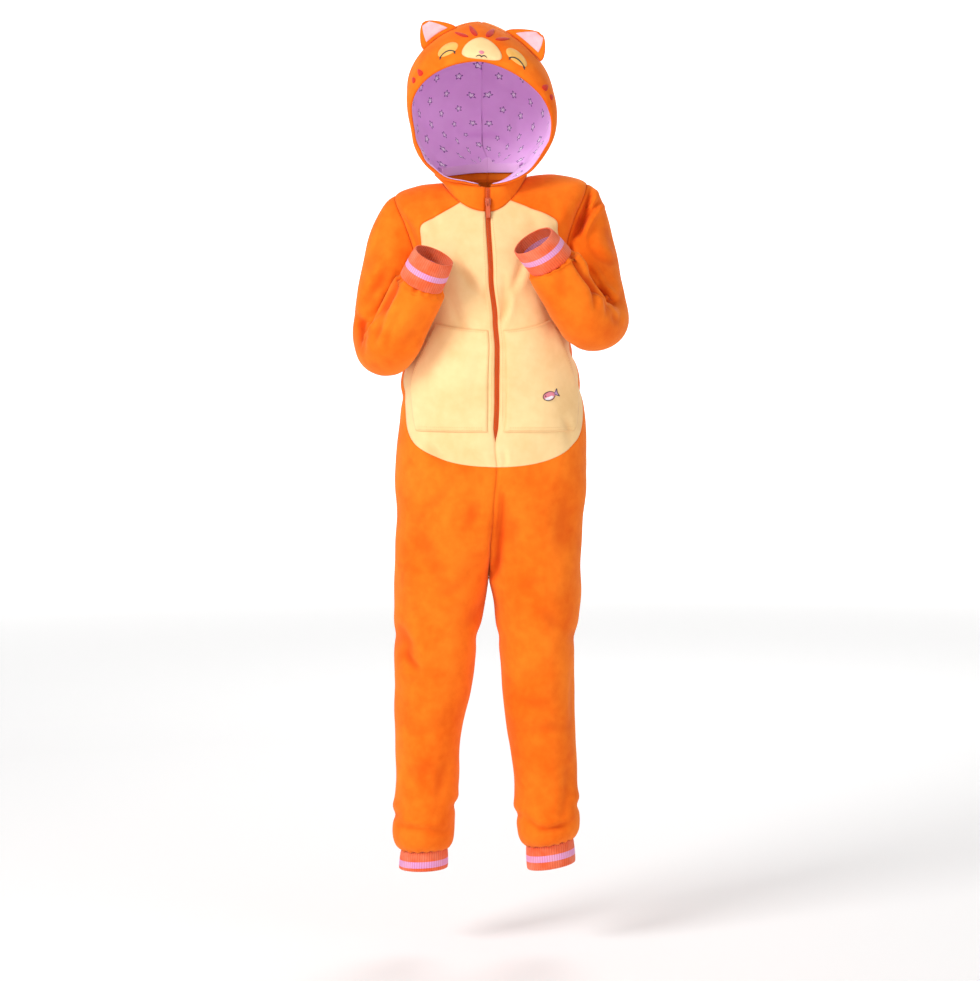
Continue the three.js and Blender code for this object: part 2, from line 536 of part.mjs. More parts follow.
// The hood's cloth on one side. v counts the arches from the opening to the nape;
// q goes from the collar (0) to the middle (1).
function hoodSurface(side) {
  const sign = sides[side];
  return (v, q) => {
    const at = (key) => column(hoodRows, key, v);
    const base = collarRing(side, clamp(at('around'), 0, 1));
    const half = Math.max(at('half'), Math.abs(base.x) + 0.5);
    const foot = Math.acos(clamp(Math.abs(base.x) / half, 0, 1));
    const turn = mix(-foot, Math.PI / 2, q);
    const top = new THREE.Vector3(0, at('topY'), at('topZ'));
    const middle = new THREE.Vector3(0, base.y, base.z);
    const rise = top.clone().sub(middle);
    const low = at('waist') / Math.sin(foot);
    const height = at('waist') + (turn > 0 ? 1 - at('waist') : low) * Math.sin(turn);
    const back = new THREE.Vector3(0, rise.z, -rise.y).normalize();
    const place = middle.addScaledVector(rise, height).addScaledVector(back, at('bow') * Math.sin(Math.PI * clamp(height, 0, 1)));
    place.x += sign * half * Math.max(Math.cos(turn), 0) ** (turn > 0 ? hoodPeak : 1);
    const lean = ramp(hoodLean.from, hoodLean.to, place.z);
    const fromMiddle = place.x;
    place.x += hoodLean.shift * lean + centreX(place.z) * (1 - lean);
    place.z += seamGap * 1.6 - hoodLean.slope * fromMiddle * lean;
    return place;
  };
}

function hoodPlace(side, v, q) {
  const surface = hoodSurface(side);
  const inside = clamp(v, 0.002, napeRow - 0.002);
  const normal = normalOf(surface, inside, clamp(q, 0.002, 0.999), sides[side]);
  if (q > 0.996) {
    normal.x = 0;
    normal.normalize();
  }
  return { point: surface(v, q), normal };
}

function hoodGrid(side, rows, from, to) {
  return rows.map((v) => range(from, to, steps.hoodHalf).map((q) => hoodPlace(side, v, q)));
}

const middleSeam = 0.9988;
for (const side of Object.keys(sides)) {
  const backRows = [3.01, 3.5, 4, 4.5, 5, 5.5, 6, 6.5, 7, 7.5, 8, 8.6, 8.97];
  addPiece(`hood_back_${side}`, clothWall(hoodGrid(side, backRows, 0, middleSeam), 0, -hoodFleece), colours.plush);
  const liningRows = [0.3, 0.7, 1.2, 1.7, 2.2, 2.6, 3.01, 4, 5, 6, 7, 8, 8.6];
  const under = -hoodFleece - liningGap;
  addPiece(`hood_lining_${side}`, clothWall(hoodGrid(side, liningRows, 0, middleSeam), under, under - liningCloth), colours.lilac);
}
// The front of the hood is one piece from the collar over the brow to the collar again
const faceRows = [0, 0.3, 0.7, 1.2, 1.7, 2.2, 2.6, 2.99];
const faceGrid = faceRows.map((v) => [
  ...range(0, 1, steps.hoodHalf).map((q) => hoodPlace('right', v, q)),
  ...range(0, 1, steps.hoodHalf).reverse().slice(1).map((q) => hoodPlace('left', v, q)),
]);
addPiece('hood_face', clothWall(faceGrid, 0, -hoodFleece), colours.plush);


// Ears: two layers of plush sewn together, with a pink inside that lies on the front
for (const side of Object.keys(sides)) {
  const hood = hoodSurface(side);
  const arch = ear.arch[side];
  const along = hood(earSeamRow, arch + 0.02).sub(hood(earSeamRow, arch - 0.02)).normalize();
  const outward = normalOf(hood, earSeamRow, arch, sides[side]);
  outward.add(new THREE.Vector3(0, ear.back[side], ear.upright)).normalize();
  const forward = new THREE.Vector3().crossVectors(along, outward).normalize();
  if (forward.y > 0) forward.negate();
  const grid = earRows.map((row) => earColumns.map((a) => {
    const edge = 1 - 0.45 * Math.abs(a) ** 4;
    const point = hood(earSeamRow, arch + a * row.width * ear.halfBase)
      .addScaledVector(outward, ear.lift[side] + ear.height * row.rise)
      .addScaledVector(forward, 2.5 * a * a - ear.halfThickness * 0.2);
    return { point, normal: forward.clone().multiplyScalar(row.thick * edge) };
  }));
  addPiece(`ear_${side}`, clothWall(grid, ear.halfThickness, -ear.halfThickness), colours.plush);
  const inner = grid.slice(earInner.firstRow + 1, earInner.lastRow + 1)
    .map((row) => row.slice(earInner.firstColumn, earInner.lastColumn + 1));
  for (const row of inner)
    for (const place of row) {
      place.point.addScaledVector(place.normal, ear.halfThickness);
      place.normal.normalize();
    }
  addPiece(`ear_inner_${side}`, clothWall(inner, seamGap + feltPatch, seamGap), colours.pink);
}

// The muzzle: a grid on a square, rounded to an oval, on the hood's cloth moved out
const muzzleGrid = range(-1, 1, steps.patch).map((a) => range(-1, 1, steps.patch).map((b) => {
  const v = muzzle.v + muzzle.reachV * a * Math.sqrt(1 - b * b / 2);
  const m = muzzle.m + muzzle.reachM * b * Math.sqrt(1 - a * a / 2);
  return hoodPlace(m < 0 ? 'right' : 'left', v, 1 - Math.abs(m));
}));
addPiece('muzzle', clothWall(muzzleGrid, seamGap + feltPatch, seamGap), colours.cream);

// Zip: two tapes behind the belly's edges joined by the chain in the slot, the slider and its pull

const wasm = await Module();
wasm.setup();

function solidOf(geometry) {
  const bare = geometry.clone();
  bare.deleteAttribute('normal');
  bare.deleteAttribute('uv');
  const merged = mergeVertices(bare, 1e-4);
  return new wasm.Manifold(new wasm.Mesh({
    numProp: 3, vertProperties: merged.attributes.position.array, triVerts: new Uint32Array(merged.index.array),
  }));
}

function geometryOf(solid) {
  const mesh = solid.getMesh();
  const geometry = new THREE.BufferGeometry();
  geometry.setAttribute('position', new THREE.BufferAttribute(mesh.vertProperties, 3));
  geometry.setIndex(new THREE.BufferAttribute(mesh.triVerts, 1));
  return geometry;
}


// A place on the centre front: t below 0 climbs the collar, whose top is at -1
function frontPlace(t, x) {
  const neck = bodyPlace('left', Math.max(t, 0), halfSeam);
  const z = column(torsoRows, 'frontZ', Math.max(t, 0));
  const point = new THREE.Vector3(centreX(z), column(torsoRows, 'frontY', Math.max(t, 0)), z);
  if (t < 0) {
    point.lerp(new THREE.Vector3(centreX(collarTop.frontZ), collarTop.frontY, collarTop.frontZ), -t);
    neck.normal.set(0, -1, 0);
  }
  point.x += x;
  neck.normal.x = 0;
  return { point, normal: neck.normal.normalize() };
}

const slotRows = [...upperRows, ...armholeRows, 5.7, 6.3, 7, 7.7, ...bellyCurveRows].filter((t) => t <= pocketRows.bottom + 1e-6);
const chain = [-0.97, -0.5, ...slotRows, chainEndRow].map((t) => {
  const half = t < chainEndRow ? chainHalfWidth * (t > 9 ? 0.75 : 1) : 0.7;
  return [-half, half].map((x) => frontPlace(t, x));
});
let zip = solidOf(clothWall(chain, chainDepth.front, chainDepth.back));
for (const side of Object.keys(sides)) {
  const tape = slotRows.map((t) => {
    const [slot, strip] = bellyColumns(side, t);
    const edge = tapeEdge / column(sideRows[side], 'x', t);
    return [Math.asin(edge ** (1 / 0.92)) / Math.PI, slot, strip].map((u) => bodyPlace(side, t, u));
  });
  const under = -fleece - seamGap;
  zip = zip.add(solidOf(clothWall(tape, under, under - tapeCloth)));
}
addPiece('zip', geometryOf(zip), colours.zip, 0.6);

function extruded(shape, depth, bevel = 0) {
  const geometry = new THREE.ExtrudeGeometry(shape, {
    depth: depth - 2 * bevel, bevelEnabled: bevel > 0, bevelSize: bevel, bevelThickness: bevel,
    bevelOffset: -bevel, bevelSegments: 1, curveSegments: 4,
  });
  return geometry.translate(0, 0, bevel - depth / 2);
}

function roundedBar(width, low, high, radius) {
  const shape = new THREE.Shape();
  const half = width / 2;
  shape.moveTo(-half + radius, low).lineTo(half - radius, low).absarc(half - radius, low + radius, radius, -Math.PI / 2, 0);
  shape.lineTo(half, high - radius).absarc(half - radius, high - radius, radius, 0, Math.PI / 2);
  shape.lineTo(-half + radius, high).absarc(-half + radius, high - radius, radius, Math.PI / 2, Math.PI);
  shape.lineTo(-half, low + radius).absarc(-half + radius, low + radius, radius, Math.PI, 1.5 * Math.PI);
  return shape;
}

// The slider stands on the chain inside the collar. Its bridge is an arch that holds the pull.
const sliderPlace = frontPlace(-slider.rise, 0).point;
const sliderFace = sliderPlace.y - chainDepth.front - seamGap * 2 - slider.depth;
const sliderBody = extruded(roundedBar(slider.width, -slider.height / 2, slider.height / 2, 3), slider.depth, 0.8);
sliderBody.rotateX(Math.PI / 2).translate(0, sliderFace + slider.depth / 2, 0);
const bridgeOutline = new THREE.Shape();
const { bridgeHalf, bridgeReach, bridgeBar } = slider;
bridgeOutline.moveTo(0.6, bridgeHalf).lineTo(-bridgeReach + 1.5, bridgeHalf).lineTo(-bridgeReach, bridgeHalf - 1.5);
bridgeOutline.lineTo(-bridgeReach, -bridgeHalf + 1.5).lineTo(-bridgeReach + 1.5, -bridgeHalf).lineTo(0.6, -bridgeHalf);
bridgeOutline.lineTo(0.6, -bridgeHalf + bridgeBar).lineTo(-bridgeReach + bridgeBar + 0.6, -bridgeHalf + bridgeBar);
bridgeOutline.lineTo(-bridgeReach + bridgeBar, -bridgeHalf + bridgeBar + 0.6);
bridgeOutline.lineTo(-bridgeReach + bridgeBar, bridgeHalf - bridgeBar - 0.6);
bridgeOutline.lineTo(-bridgeReach + bridgeBar + 0.6, bridgeHalf - bridgeBar).lineTo(0.6, bridgeHalf - bridgeBar);
// The outline is drawn in y and z; turning it stands it up across x
const bridge = extruded(bridgeOutline, slider.bridgeWidth);
bridge.applyMatrix4(new THREE.Matrix4().set(0, 0, 1, 0, 1, 0, 0, sliderFace, 0, 1, 0, 0, 0, 0, 0, 1));
const sliderGeometry = geometryOf(solidOf(sliderBody).add(solidOf(bridge)));
addPiece('zip_slider', sliderGeometry, colours.metal, 0.35, 0.9).position.set(sliderPlace.x, 0, sliderPlace.z);

// The pull hangs from its top bar, which lies in the bridge: the pull turns about that bar
const pullShape = roundedBar(pull.width, -pull.length, pull.bar / 2 + 0.2, 0.8);
const slot = new THREE.Path();
slot.moveTo(-pull.slotHalf, -pull.bar / 2).lineTo(-pull.slotHalf, -pull.bar / 2 - pull.slotLength);
slot.lineTo(pull.slotHalf, -pull.bar / 2 - pull.slotLength).lineTo(pull.slotHalf, -pull.bar / 2);
pullShape.holes.push(slot);
const pullGeometry = extruded(pullShape, pull.depth).rotateX(Math.PI / 2);
const pullMesh = addPiece('zip_pull', pullGeometry, colours.metal, 0.35, 0.9);
pullMesh.position.set(sliderPlace.x, sliderFace - (bridgeReach - bridgeBar) / 2, sliderPlace.z);
pullMesh.rotation.x = -THREE.MathUtils.degToRad(pull.tilt);

export default onesie;
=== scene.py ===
import math

import bpy
import numpy as np
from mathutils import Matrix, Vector


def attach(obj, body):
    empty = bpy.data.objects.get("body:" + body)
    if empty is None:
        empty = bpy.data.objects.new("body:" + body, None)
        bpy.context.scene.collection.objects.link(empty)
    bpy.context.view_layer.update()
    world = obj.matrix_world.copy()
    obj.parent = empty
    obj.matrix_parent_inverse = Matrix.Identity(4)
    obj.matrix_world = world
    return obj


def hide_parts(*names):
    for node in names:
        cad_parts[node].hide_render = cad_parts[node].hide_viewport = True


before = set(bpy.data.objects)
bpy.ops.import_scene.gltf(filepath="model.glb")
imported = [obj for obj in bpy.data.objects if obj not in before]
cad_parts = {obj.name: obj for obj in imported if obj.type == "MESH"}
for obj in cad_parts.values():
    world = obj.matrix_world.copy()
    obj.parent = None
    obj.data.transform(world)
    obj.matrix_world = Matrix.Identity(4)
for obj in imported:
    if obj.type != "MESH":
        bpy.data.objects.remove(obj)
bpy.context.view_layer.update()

# A child's hooded cat onesie in plush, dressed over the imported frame.
# The pattern below is in millimetres, as on a cutting table, and a mesh is made in metres.
# The front faces -Y, and the garment's own left is +X.
metre = 0.001
print("frame loaded:", len(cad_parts), "nodes")


# Camera, floor and light
camera = {"distance": 4.6, "height": -0.173, "pitchDown": 3.75, "lens": 107.9, "sensor": 36}
backdrop = {
    "height": -1.2, "flat": 6.5, "radius": 3.0, "top": 3.2, "half": 14.0, "arcSteps": 24,
    "colour": (0.9, 0.9, 0.905), "nearGlow": 0.06, "farGlow": 0.7, "glowFrom": 5.0, "glowTo": 45.0,
}
lamps = {
    "keyLight": {"place": (-2.8, -2.9, 1.8), "size": 1.6, "power": 138},
    "fillLight": {"place": (2.8, -2.6, 0.4), "size": 2.4, "power": 16},
    "rimLight": {"place": (0.6, 3.0, 1.8), "size": 2.0, "power": 60},
}
room = {"colour": (1.0, 0.985, 0.965), "strength": 0.4}
aimPoint = (0, 0, -0.45)


def linked(name, mesh):
    piece = bpy.data.objects.new(name, mesh)
    bpy.context.scene.collection.objects.link(piece)
    return piece


def makeStudio():
    scene = bpy.context.scene
    bpy.ops.object.camera_add(
        location=(0, -camera["distance"], camera["height"]),
        rotation=(math.radians(90 - camera["pitchDown"]), 0, 0),
    )
    eye = bpy.context.object
    eye.data.lens = camera["lens"]
    eye.data.sensor_width = camera["sensor"]
    eye.data.sensor_fit = "HORIZONTAL"
    eye.data.clip_end = 100
    scene.camera = eye
    scene.view_settings.view_transform = "Standard"
    # The paper floor sweeps up far in front and behind, so no horizon shows
    low, flat, radius = backdrop["height"], backdrop["flat"], backdrop["radius"]
    arc = [(flat + radius * math.sin(a), low + radius * (1 - math.cos(a)))
           for a in np.linspace(0, math.pi / 2, backdrop["arcSteps"])]
    rise = [*arc, (flat + radius, backdrop["top"])]
    profile = [(-y, z) for y, z in reversed(rise)] + rise
    corners = [(x, y, z) for y, z in profile for x in (-backdrop["half"], backdrop["half"])]
    mesh = bpy.data.meshes.new("backdrop")
    mesh.from_pydata(corners, [], [(2 * i, 2 * i + 1, 2 * i + 3, 2 * i + 2) for i in range(len(profile) - 1)])
    mesh.shade_smooth()
    mesh.materials.append(paperFinish("backdropPaper", backdrop["colour"]))
    linked("backdrop", mesh)
    for name, lamp in lamps.items():
        bpy.ops.object.light_add(type="AREA", location=lamp["place"])
        light = bpy.context.object
        light.name = name
        light.data.size = lamp["size"]
        light.data.energy = lamp["power"]
        aim = Vector(aimPoint) - light.location
        light.rotation_euler = aim.to_track_quat("-Z", "Y").to_euler()
    world = bpy.data.worlds.new("room")
    world.use_nodes = True
    world.node_tree.nodes["Background"].inputs[0].default_value = (*room["colour"], 1)
    world.node_tree.nodes["Background"].inputs[1].default_value = room["strength"]
    scene.world = world
    print("studio ready")


# Finishes
class Signal:
    # A socket with arithmetic: an expression adds its Math nodes.
    def __init__(self, finish, socket):
        self.finish, self.socket = finish, socket

    def math(self, operation, *values):
        return self.finish.maths(operation, *values)

    def __add__(self, other):
        return self.math("ADD", self, other)

    def __radd__(self, other):
        return self.math("ADD", other, self)

    def __sub__(self, other):
        return self.math("SUBTRACT", self, other)

    def __rsub__(self, other):
        return self.math("SUBTRACT", other, self)

    def __mul__(self, other):
        return self.math("MULTIPLY", self, other)

    def __rmul__(self, other):
        return self.math("MULTIPLY", other, self)

    def __truediv__(self, other):
        return self.math("DIVIDE", self, other)

    def __lt__(self, other):
        return self.math("LESS_THAN", self, other)

    def __gt__(self, other):
        return self.math("GREATER_THAN", self, other)


class Finish:
    # One material's nodes.
    def __init__(self, name):
        self.material = bpy.data.materials.new(name)
        self.material.use_nodes = True
        self.tree = self.material.node_tree
        self.tree.nodes.clear()

    def add(self, kind, settings=None, values=None, output=0):
        node = self.tree.nodes.new(kind)
        for key, setting in (settings or {}).items():
            setattr(node, key, setting)
        for key, value in (values or {}).items():
            if isinstance(value, Signal):
                self.tree.links.new(value.socket, node.inputs[key])
            else:
                node.inputs[key].default_value = value
        return Signal(self, node.outputs[output])

    def place(self):
        return self.add("ShaderNodeTexCoord", output="Object")

    def noise(self, size, detail=2.0, roughness=0.5):
        # Clouds of about the given size in metres, from 0 to 1.
        values = {"Vector": self.place(), "Scale": 1 / size, "Detail": detail, "Roughness": roughness}
        return self.add("ShaderNodeTexNoise", {}, values)

    def measure(self, name):
        # A number that a piece keeps for each of its points.
        return self.add("ShaderNodeAttribute", {"attribute_name": name}, output="Fac")

    def spread(self, signal, low, high):
        values = {"Value": signal, "From Min": low, "From Max": high}
        return self.add("ShaderNodeMapRange", {"clamp": True}, values)

    def blend(self, factor, first, second):
        node = self.tree.nodes.new("ShaderNodeMix")
        node.data_type = "RGBA"
        factorSocket, firstSocket, secondSocket = (node.inputs[i] for i in (0, 6, 7))
        values = ((factorSocket, factor), (firstSocket, colourOf(first)), (secondSocket, colourOf(second)))
        for socket, value in values:
            if isinstance(value, Signal):
                self.tree.links.new(value.socket, socket)
            else:
                socket.default_value = value
        return Signal(self, node.outputs[2])

    def bump(self, height, distance, strength):
        values = {"Height": height, "Distance": distance, "Strength": strength}
        return self.add("ShaderNodeBump", {}, values)

    def maths(self, operation, *values):
        return self.add("ShaderNodeMath", {"operation": operation}, dict(enumerate(values)))

    def twill(self, scale, distortion):
        # Slanting bands, as in twisted thread and woven tape.
        return self.add("ShaderNodeTexWave", {"wave_type": "BANDS", "bands_direction": "DIAGONAL"},
                        {"Vector": self.place(), "Scale": scale, "Distortion": distortion})

    def surface(self, values):
        shader = self.add("ShaderNodeBsdfPrincipled", {}, values, "BSDF")
        end = self.tree.nodes.new("ShaderNodeOutputMaterial")
        self.tree.links.new(shader.socket, end.inputs["Surface"])
        return self.material


def colourOf(value):
    return value if isinstance(value, Signal) or len(value) == 4 else (*value, 1)


def paperFinish(name, colour):
    # Pale paper that is lit from within far from the garment.
    finish = Finish(name)
    x, y = (finish.add("ShaderNodeSeparateXYZ", {}, {0: finish.place()}, output) for output in (0, 1))
    far = finish.spread(x * x + y * y, backdrop["glowFrom"], backdrop["glowTo"])
    near, wide = backdrop["nearGlow"], backdrop["farGlow"]
    return finish.surface({
        "Base Color": (*colour, 1),
        "Roughness": 0.9,
        "Emission Color": finish.blend(far, (near, near, near), (wide, wide, wide)),
        "Emission Strength": 1.0,
    })


# Fur size and bump height, and how far and how strongly painted shade darkens the plush at its seams and in
# its folds
nap = {"size": 0.0011, "height": 0.0005, "seamShadeReach": 0.0032, "seamShadeShare": 0.32, "creaseShadeShare": 0.75}


def napFinish(name, deep, light, shadeTint, sheenTint):
    # Short plush: clouds where the nap lies another way, fine fur, and painted shade along the seams and in
    # sunk folds.
    finish = Finish(name)
    stroked = finish.noise(0.085, 3.0, 0.55)
    brushed = finish.noise(0.016, 2.0, 0.6)
    fur = finish.noise(nap["size"], 2.0, 0.7)
    lie = finish.spread(stroked * 0.72 + brushed * 0.28, 0.36, 0.64)
    colour = finish.blend(lie, deep, light)
    speck = finish.spread(fur, 0.3, 0.7)
    colour = finish.blend(speck * 0.22, colour, light)
    # Painted shade: the colour darkens towards the shade tint where a fold sinks and along the seams
    colour = finish.blend(finish.measure("valleyShade") * nap["creaseShadeShare"], colour, shadeTint)
    seam = finish.spread(finish.measure("seam"), nap["seamShadeReach"], 0.0) * nap["seamShadeShare"]
    colour = finish.blend(seam, colour, shadeTint)
    height = fur + brushed * 0.5
    return finish.surface({
        "Base Color": colour,
        "Roughness": 0.92,
        "Specular IOR Level": 0.12,
        "Sheen Weight": 0.35,
        "Sheen Roughness": 0.42,
        "Sheen Tint": (*sheenTint, 1),
        "Normal": finish.bump(height, nap["height"], 0.55),
    })


knitPitch = 0.0016
# The knit's colour, the painted shade in its valleys, its stripe and its clouds
rib = {
    "colour": (0.85, 0.125, 0.035), "valleyShade": (0.52, 0.055, 0.012), "stripe": (0.76, 0.34, 0.66),
    "cloud": (1.0, 0.62, 0.45),
}


def ribFinish(name, stripeEdges):
    # Rib knit with one stripe, the small stitches of the knit, and painted shade in the valleys between the
    # ribs.
    finish = Finish(name)
    down = finish.measure("down")
    stripeMask = (down > stripeEdges[0]) * (down < stripeEdges[1])
    rows = finish.maths("SINE", down * (2 * math.pi / knitPitch))
    yarn = finish.noise(0.0012, 2.0, 0.6)
    cloud = finish.noise(0.02, 2.0, 0.5)
    base = finish.blend(stripeMask, rib["colour"], rib["stripe"])
    base = finish.blend(finish.spread(cloud, 0.35, 0.7) * 0.18, base, rib["cloud"])
    # Painted shade: the valleys between the ribs are darkened
    base = finish.blend(finish.measure("valleyShade") * 0.42, base, rib["valleyShade"])
    return finish.surface({
        "Base Color": base,
        "Roughness": 0.88,
        "Specular IOR Level": 0.2,
        "Sheen Weight": 0.2,
        "Normal": finish.bump(rows * 0.35 + yarn, 0.0004, 0.6),
    })


lining = {
    "colour": (0.88, 0.54, 0.89), "shadow": (0.78, 0.42, 0.79), "pale": (0.97, 0.9, 0.97),
    "dark": (0.25, 0.1, 0.33), "printSize": 0.046, "rowShift": 0.37, "rowTurn": 2.4, "cellTurn": 1.7,
    "starReach": 0.14, "starWave": 0.05, "heart": 0.62,
}


def liningFinish(name):
    # Jersey with a sparse print of small five-pointed stars, each cell's star moved and turned.
    finish = Finish(name)
    across, down = finish.measure("across"), finish.measure("down")
    tall = down / lining["printSize"]
    row = finish.maths("FLOOR", tall)
    wide = across / lining["printSize"] + row * lining["rowShift"]
    cell = finish.maths("FLOOR", wide)
    turn = row * lining["rowTurn"] + cell * lining["cellTurn"]
    x = wide - cell - 0.5
    y = tall - row - 0.5
    far = finish.maths("SQRT", x * x + y * y)
    angle = finish.maths("ARCTAN2", y, x)
    wave = finish.maths("COSINE", angle * 5 + turn)
    reach = wave * lining["starWave"] + lining["starReach"]
    star = far < reach
    heart = far < reach * lining["heart"]
    weave = finish.noise(0.0009, 2.0, 0.6)
    cloud = finish.noise(0.03, 2.0, 0.5)
    base = finish.blend(finish.spread(cloud, 0.35, 0.65) * 0.4, lining["colour"], lining["shadow"])
    base = finish.blend(star, base, lining["dark"])
    base = finish.blend(heart, base, lining["pale"])
    return finish.surface({
        "Base Color": base,
        "Roughness": 0.75,
        "Specular IOR Level": 0.25,
        "Sheen Weight": 0.15,
        "Normal": finish.bump(weave, 0.0003, 0.5),
    })


def feltFinish(name, colour, second):
    finish = Finish(name)
    hair = finish.noise(0.0014, 3.0, 0.7)
    cloud = finish.noise(0.012, 2.0, 0.5)
    base = finish.blend(finish.spread(cloud * 0.6 + hair * 0.4, 0.35, 0.65), colour, second)
    return finish.surface({
        "Base Color": base,
        "Roughness": 0.93,
        "Specular IOR Level": 0.15,
        "Sheen Weight": 0.25,
        "Normal": finish.bump(hair, 0.0004, 0.6),
    })


strandPitch = 0.0009


def threadFinish(name, colour, second):
    # Embroidery and sewing thread: fine slanting strands with a soft gloss.
    finish = Finish(name)
    strands = finish.twill(0.32 / strandPitch, 1.2)
    base = finish.blend(finish.spread(strands, 0.2, 0.9) * 0.6, colour, second)
    return finish.surface({
        "Base Color": base,
        "Roughness": 0.5,
        "Specular IOR Level": 0.35,
        "Sheen Weight": 0.2,
        "Normal": finish.bump(strands, 0.0003, 0.7),
    })


def zipTapeFinish(name, colour, second):
    finish = Finish(name)
    twill = finish.twill(260.0, 0.6)
    cloud = finish.noise(0.01)
    base = finish.blend(finish.spread(twill * 0.6 + cloud * 0.4, 0.3, 0.7), colour, second)
    return finish.surface({
        "Base Color": base,
        "Roughness": 0.82,
        "Specular IOR Level": 0.2,
        "Normal": finish.bump(twill, 0.0003, 0.6),
    })


def lacquerFinish(name, colour, worn):
    # Lacquered zinc: thin along the rubbed places.
    finish = Finish(name)
    scuff = finish.spread(finish.noise(0.0035, 4.0, 0.65), 0.58, 0.72)
    base = finish.blend(scuff * 0.5, colour, worn)
    return finish.surface({
        "Base Color": base,
        "Roughness": scuff * 0.2 + 0.32,
        "Metallic": scuff * 0.6 + 0.1,
        "Coat Weight": 0.35,
        "Normal": finish.bump(finish.noise(0.0016, 2.0), 0.0001, 0.4),
    })


def makeFinishes():
    return {
        # The third colour of each plush is the tint of its painted shade in folds and along seams
        "plush": napFinish("orangePlush", (0.83, 0.118, 0.003), (0.97, 0.21, 0.012), (0.62, 0.045, 0.0012),
                           (1.0, 0.55, 0.22)),
        "cream": napFinish("creamPlush", (0.84, 0.54, 0.24), (0.94, 0.66, 0.33), (0.80, 0.38, 0.14),
                           (1.0, 0.9, 0.7)),
        "legRib": ribFinish("legRibKnit", (0.0145, 0.0245)),
        "sleeveRib": ribFinish("sleeveRibKnit", (0.0175, 0.0265)),
        "lining": liningFinish("lilacLining"),
        "pinkFelt": feltFinish("pinkFelt", (0.93, 0.47, 0.53), (1.0, 0.6, 0.66)),
        "redFelt": feltFinish("redFelt", (0.55, 0.012, 0.004), (0.68, 0.03, 0.008)),
        "amberFelt": feltFinish("amberFelt", (0.80, 0.40, 0.08), (0.9, 0.5, 0.14)),
        "darkThread": threadFinish("darkThread", (0.02, 0.014, 0.016), (0.07, 0.05, 0.05)),
        "roseThread": threadFinish("roseThread", (0.75, 0.2, 0.27), (0.9, 0.36, 0.42)),
        "whiteThread": threadFinish("whiteThread", (0.85, 0.8, 0.84), (0.98, 0.95, 0.97)),
        "lilacThread": threadFinish("lilacThread", (0.55, 0.3, 0.58), (0.75, 0.5, 0.76)),
        "creamThread": threadFinish("creamThread", (0.74, 0.43, 0.17), (0.86, 0.58, 0.28)),
        "zipTape": zipTapeFinish("orangeZipTape", (0.60, 0.068, 0.004), (0.74, 0.11, 0.01)),
        "zipTeeth": lacquerFinish("zipTeeth", (0.6, 0.075, 0.008), (0.74, 0.14, 0.03)),
        "lacquer": lacquerFinish("sliderLacquer", (0.6, 0.08, 0.01), (0.55, 0.48, 0.42)),
    }


finishes = makeFinishes()
makeStudio()


# The pattern
cloth = {
    "fleece": 2.4, "hoodFleece": 2.8, "lining": 1.0, "liningGap": 0.9, "rib": 2.0, "pocket": 1.8,
    "felt": 1.2, "seamGap": 0.3, "halfSeam": 0.0004, "insetSeam": 0.0007,
}
# Sections are a little fuller than an ellipse
fullness = 0.92
# Millimetres for each share of the way round the body, from the centre front to the centre back
girth = 420
sides = {"right": -1, "left": 1}


def rows(names, *lines):
    # A table with named columns, one line for each row.
    return {name: np.array(values, float) for name, values in zip(names.split(), zip(*lines))}


centreLine = rows(
    "z x",
    (40, -3), (-20, -3), (-42, -3), (-140, 1.5), (-207, 8), (-250, 11), (-330, 10.5), (-402, 8),
    (-435, 10.5), (-500, 6), (-565, 0.5), (-613, -2),
)
# Sections of the body from the neck to the crotch; leg is the share that is already trouser leg
torso = rows(
    "frontY frontZ backY backZ leg",
    (-84, -41, 68, 12, 0), (-93, -66, 80, -8, 0), (-99, -94, 89, -42, 0), (-103, -120, 95, -82, 0),
    (-106, -150, 97, -124, 0), (-108, -180, 97, -165, 0), (-110, -212, 95, -208, 0),
    (-112, -250, 92, -250, 0), (-114, -292, 92, -292, 0), (-114, -346, 97, -346, 0),
    (-111, -405, 105, -405, 0), (-107, -466, 110, -466, 0.03), (-102, -525, 108, -525, 0.14),
    (-98, -575, 102, -575, 0.45), (-88, -613, 92, -613, 1),
)
sideSeam = {
    "right": rows(
        "x z",
        (74, 6), (112, 1), (148, -14), (140, -50), (127, -94), (119, -140), (116, -188), (123, -238),
        (137, -288), (140, -346), (147, -405), (148, -466), (148, -525), (149, -575), (150, -613),
    ),
    "left": rows(
        "x z",
        (58, 16), (104, 19), (150, 4), (142, -36), (128, -80), (119, -127), (116, -178), (122, -230),
        (135, -286), (147, -346), (151, -405), (150, -466), (145, -525), (144, -575), (143, -613),
    ),
}
# Sections of the legs from the crotch to the ankle
legs = {
    "right": rows(
        "outerX innerX frontY backY outerZ innerZ",
        (150, 0.2, -88, 92, -613, -613), (151, 9, -85, 88, -655, -655), (151, 21, -78, 80, -725, -725),
        (150, 32, -69, 72, -800, -800), (151, 47, -60, 70, -868, -868), (148, 49, -55, 65, -930, -930),
        (153, 54, -55, 63, -984, -984), (155, 57, -54, 62, -1016, -1018), (150, 61, -48, 56, -1035, -1034),
        (141, 67, -38, 47, -1044, -1040),
    ),
    "left": rows(
        "outerX innerX frontY backY outerZ innerZ",
        (143, 0.2, -88, 92, -613, -613), (141, 7, -84, 87, -655, -655), (134, 14, -76, 80, -725, -725),
        (133, 20, -67, 72, -800, -800), (136, 30, -59, 70, -866, -868), (138, 37, -55, 65, -926, -930),
        (141, 40, -55, 63, -976, -984), (141, 43, -54, 62, -1005, -1016), (137, 49, -48, 56, -1018, -1031),
        (132, 57, -38, 47, -1025, -1037),
    ),
}
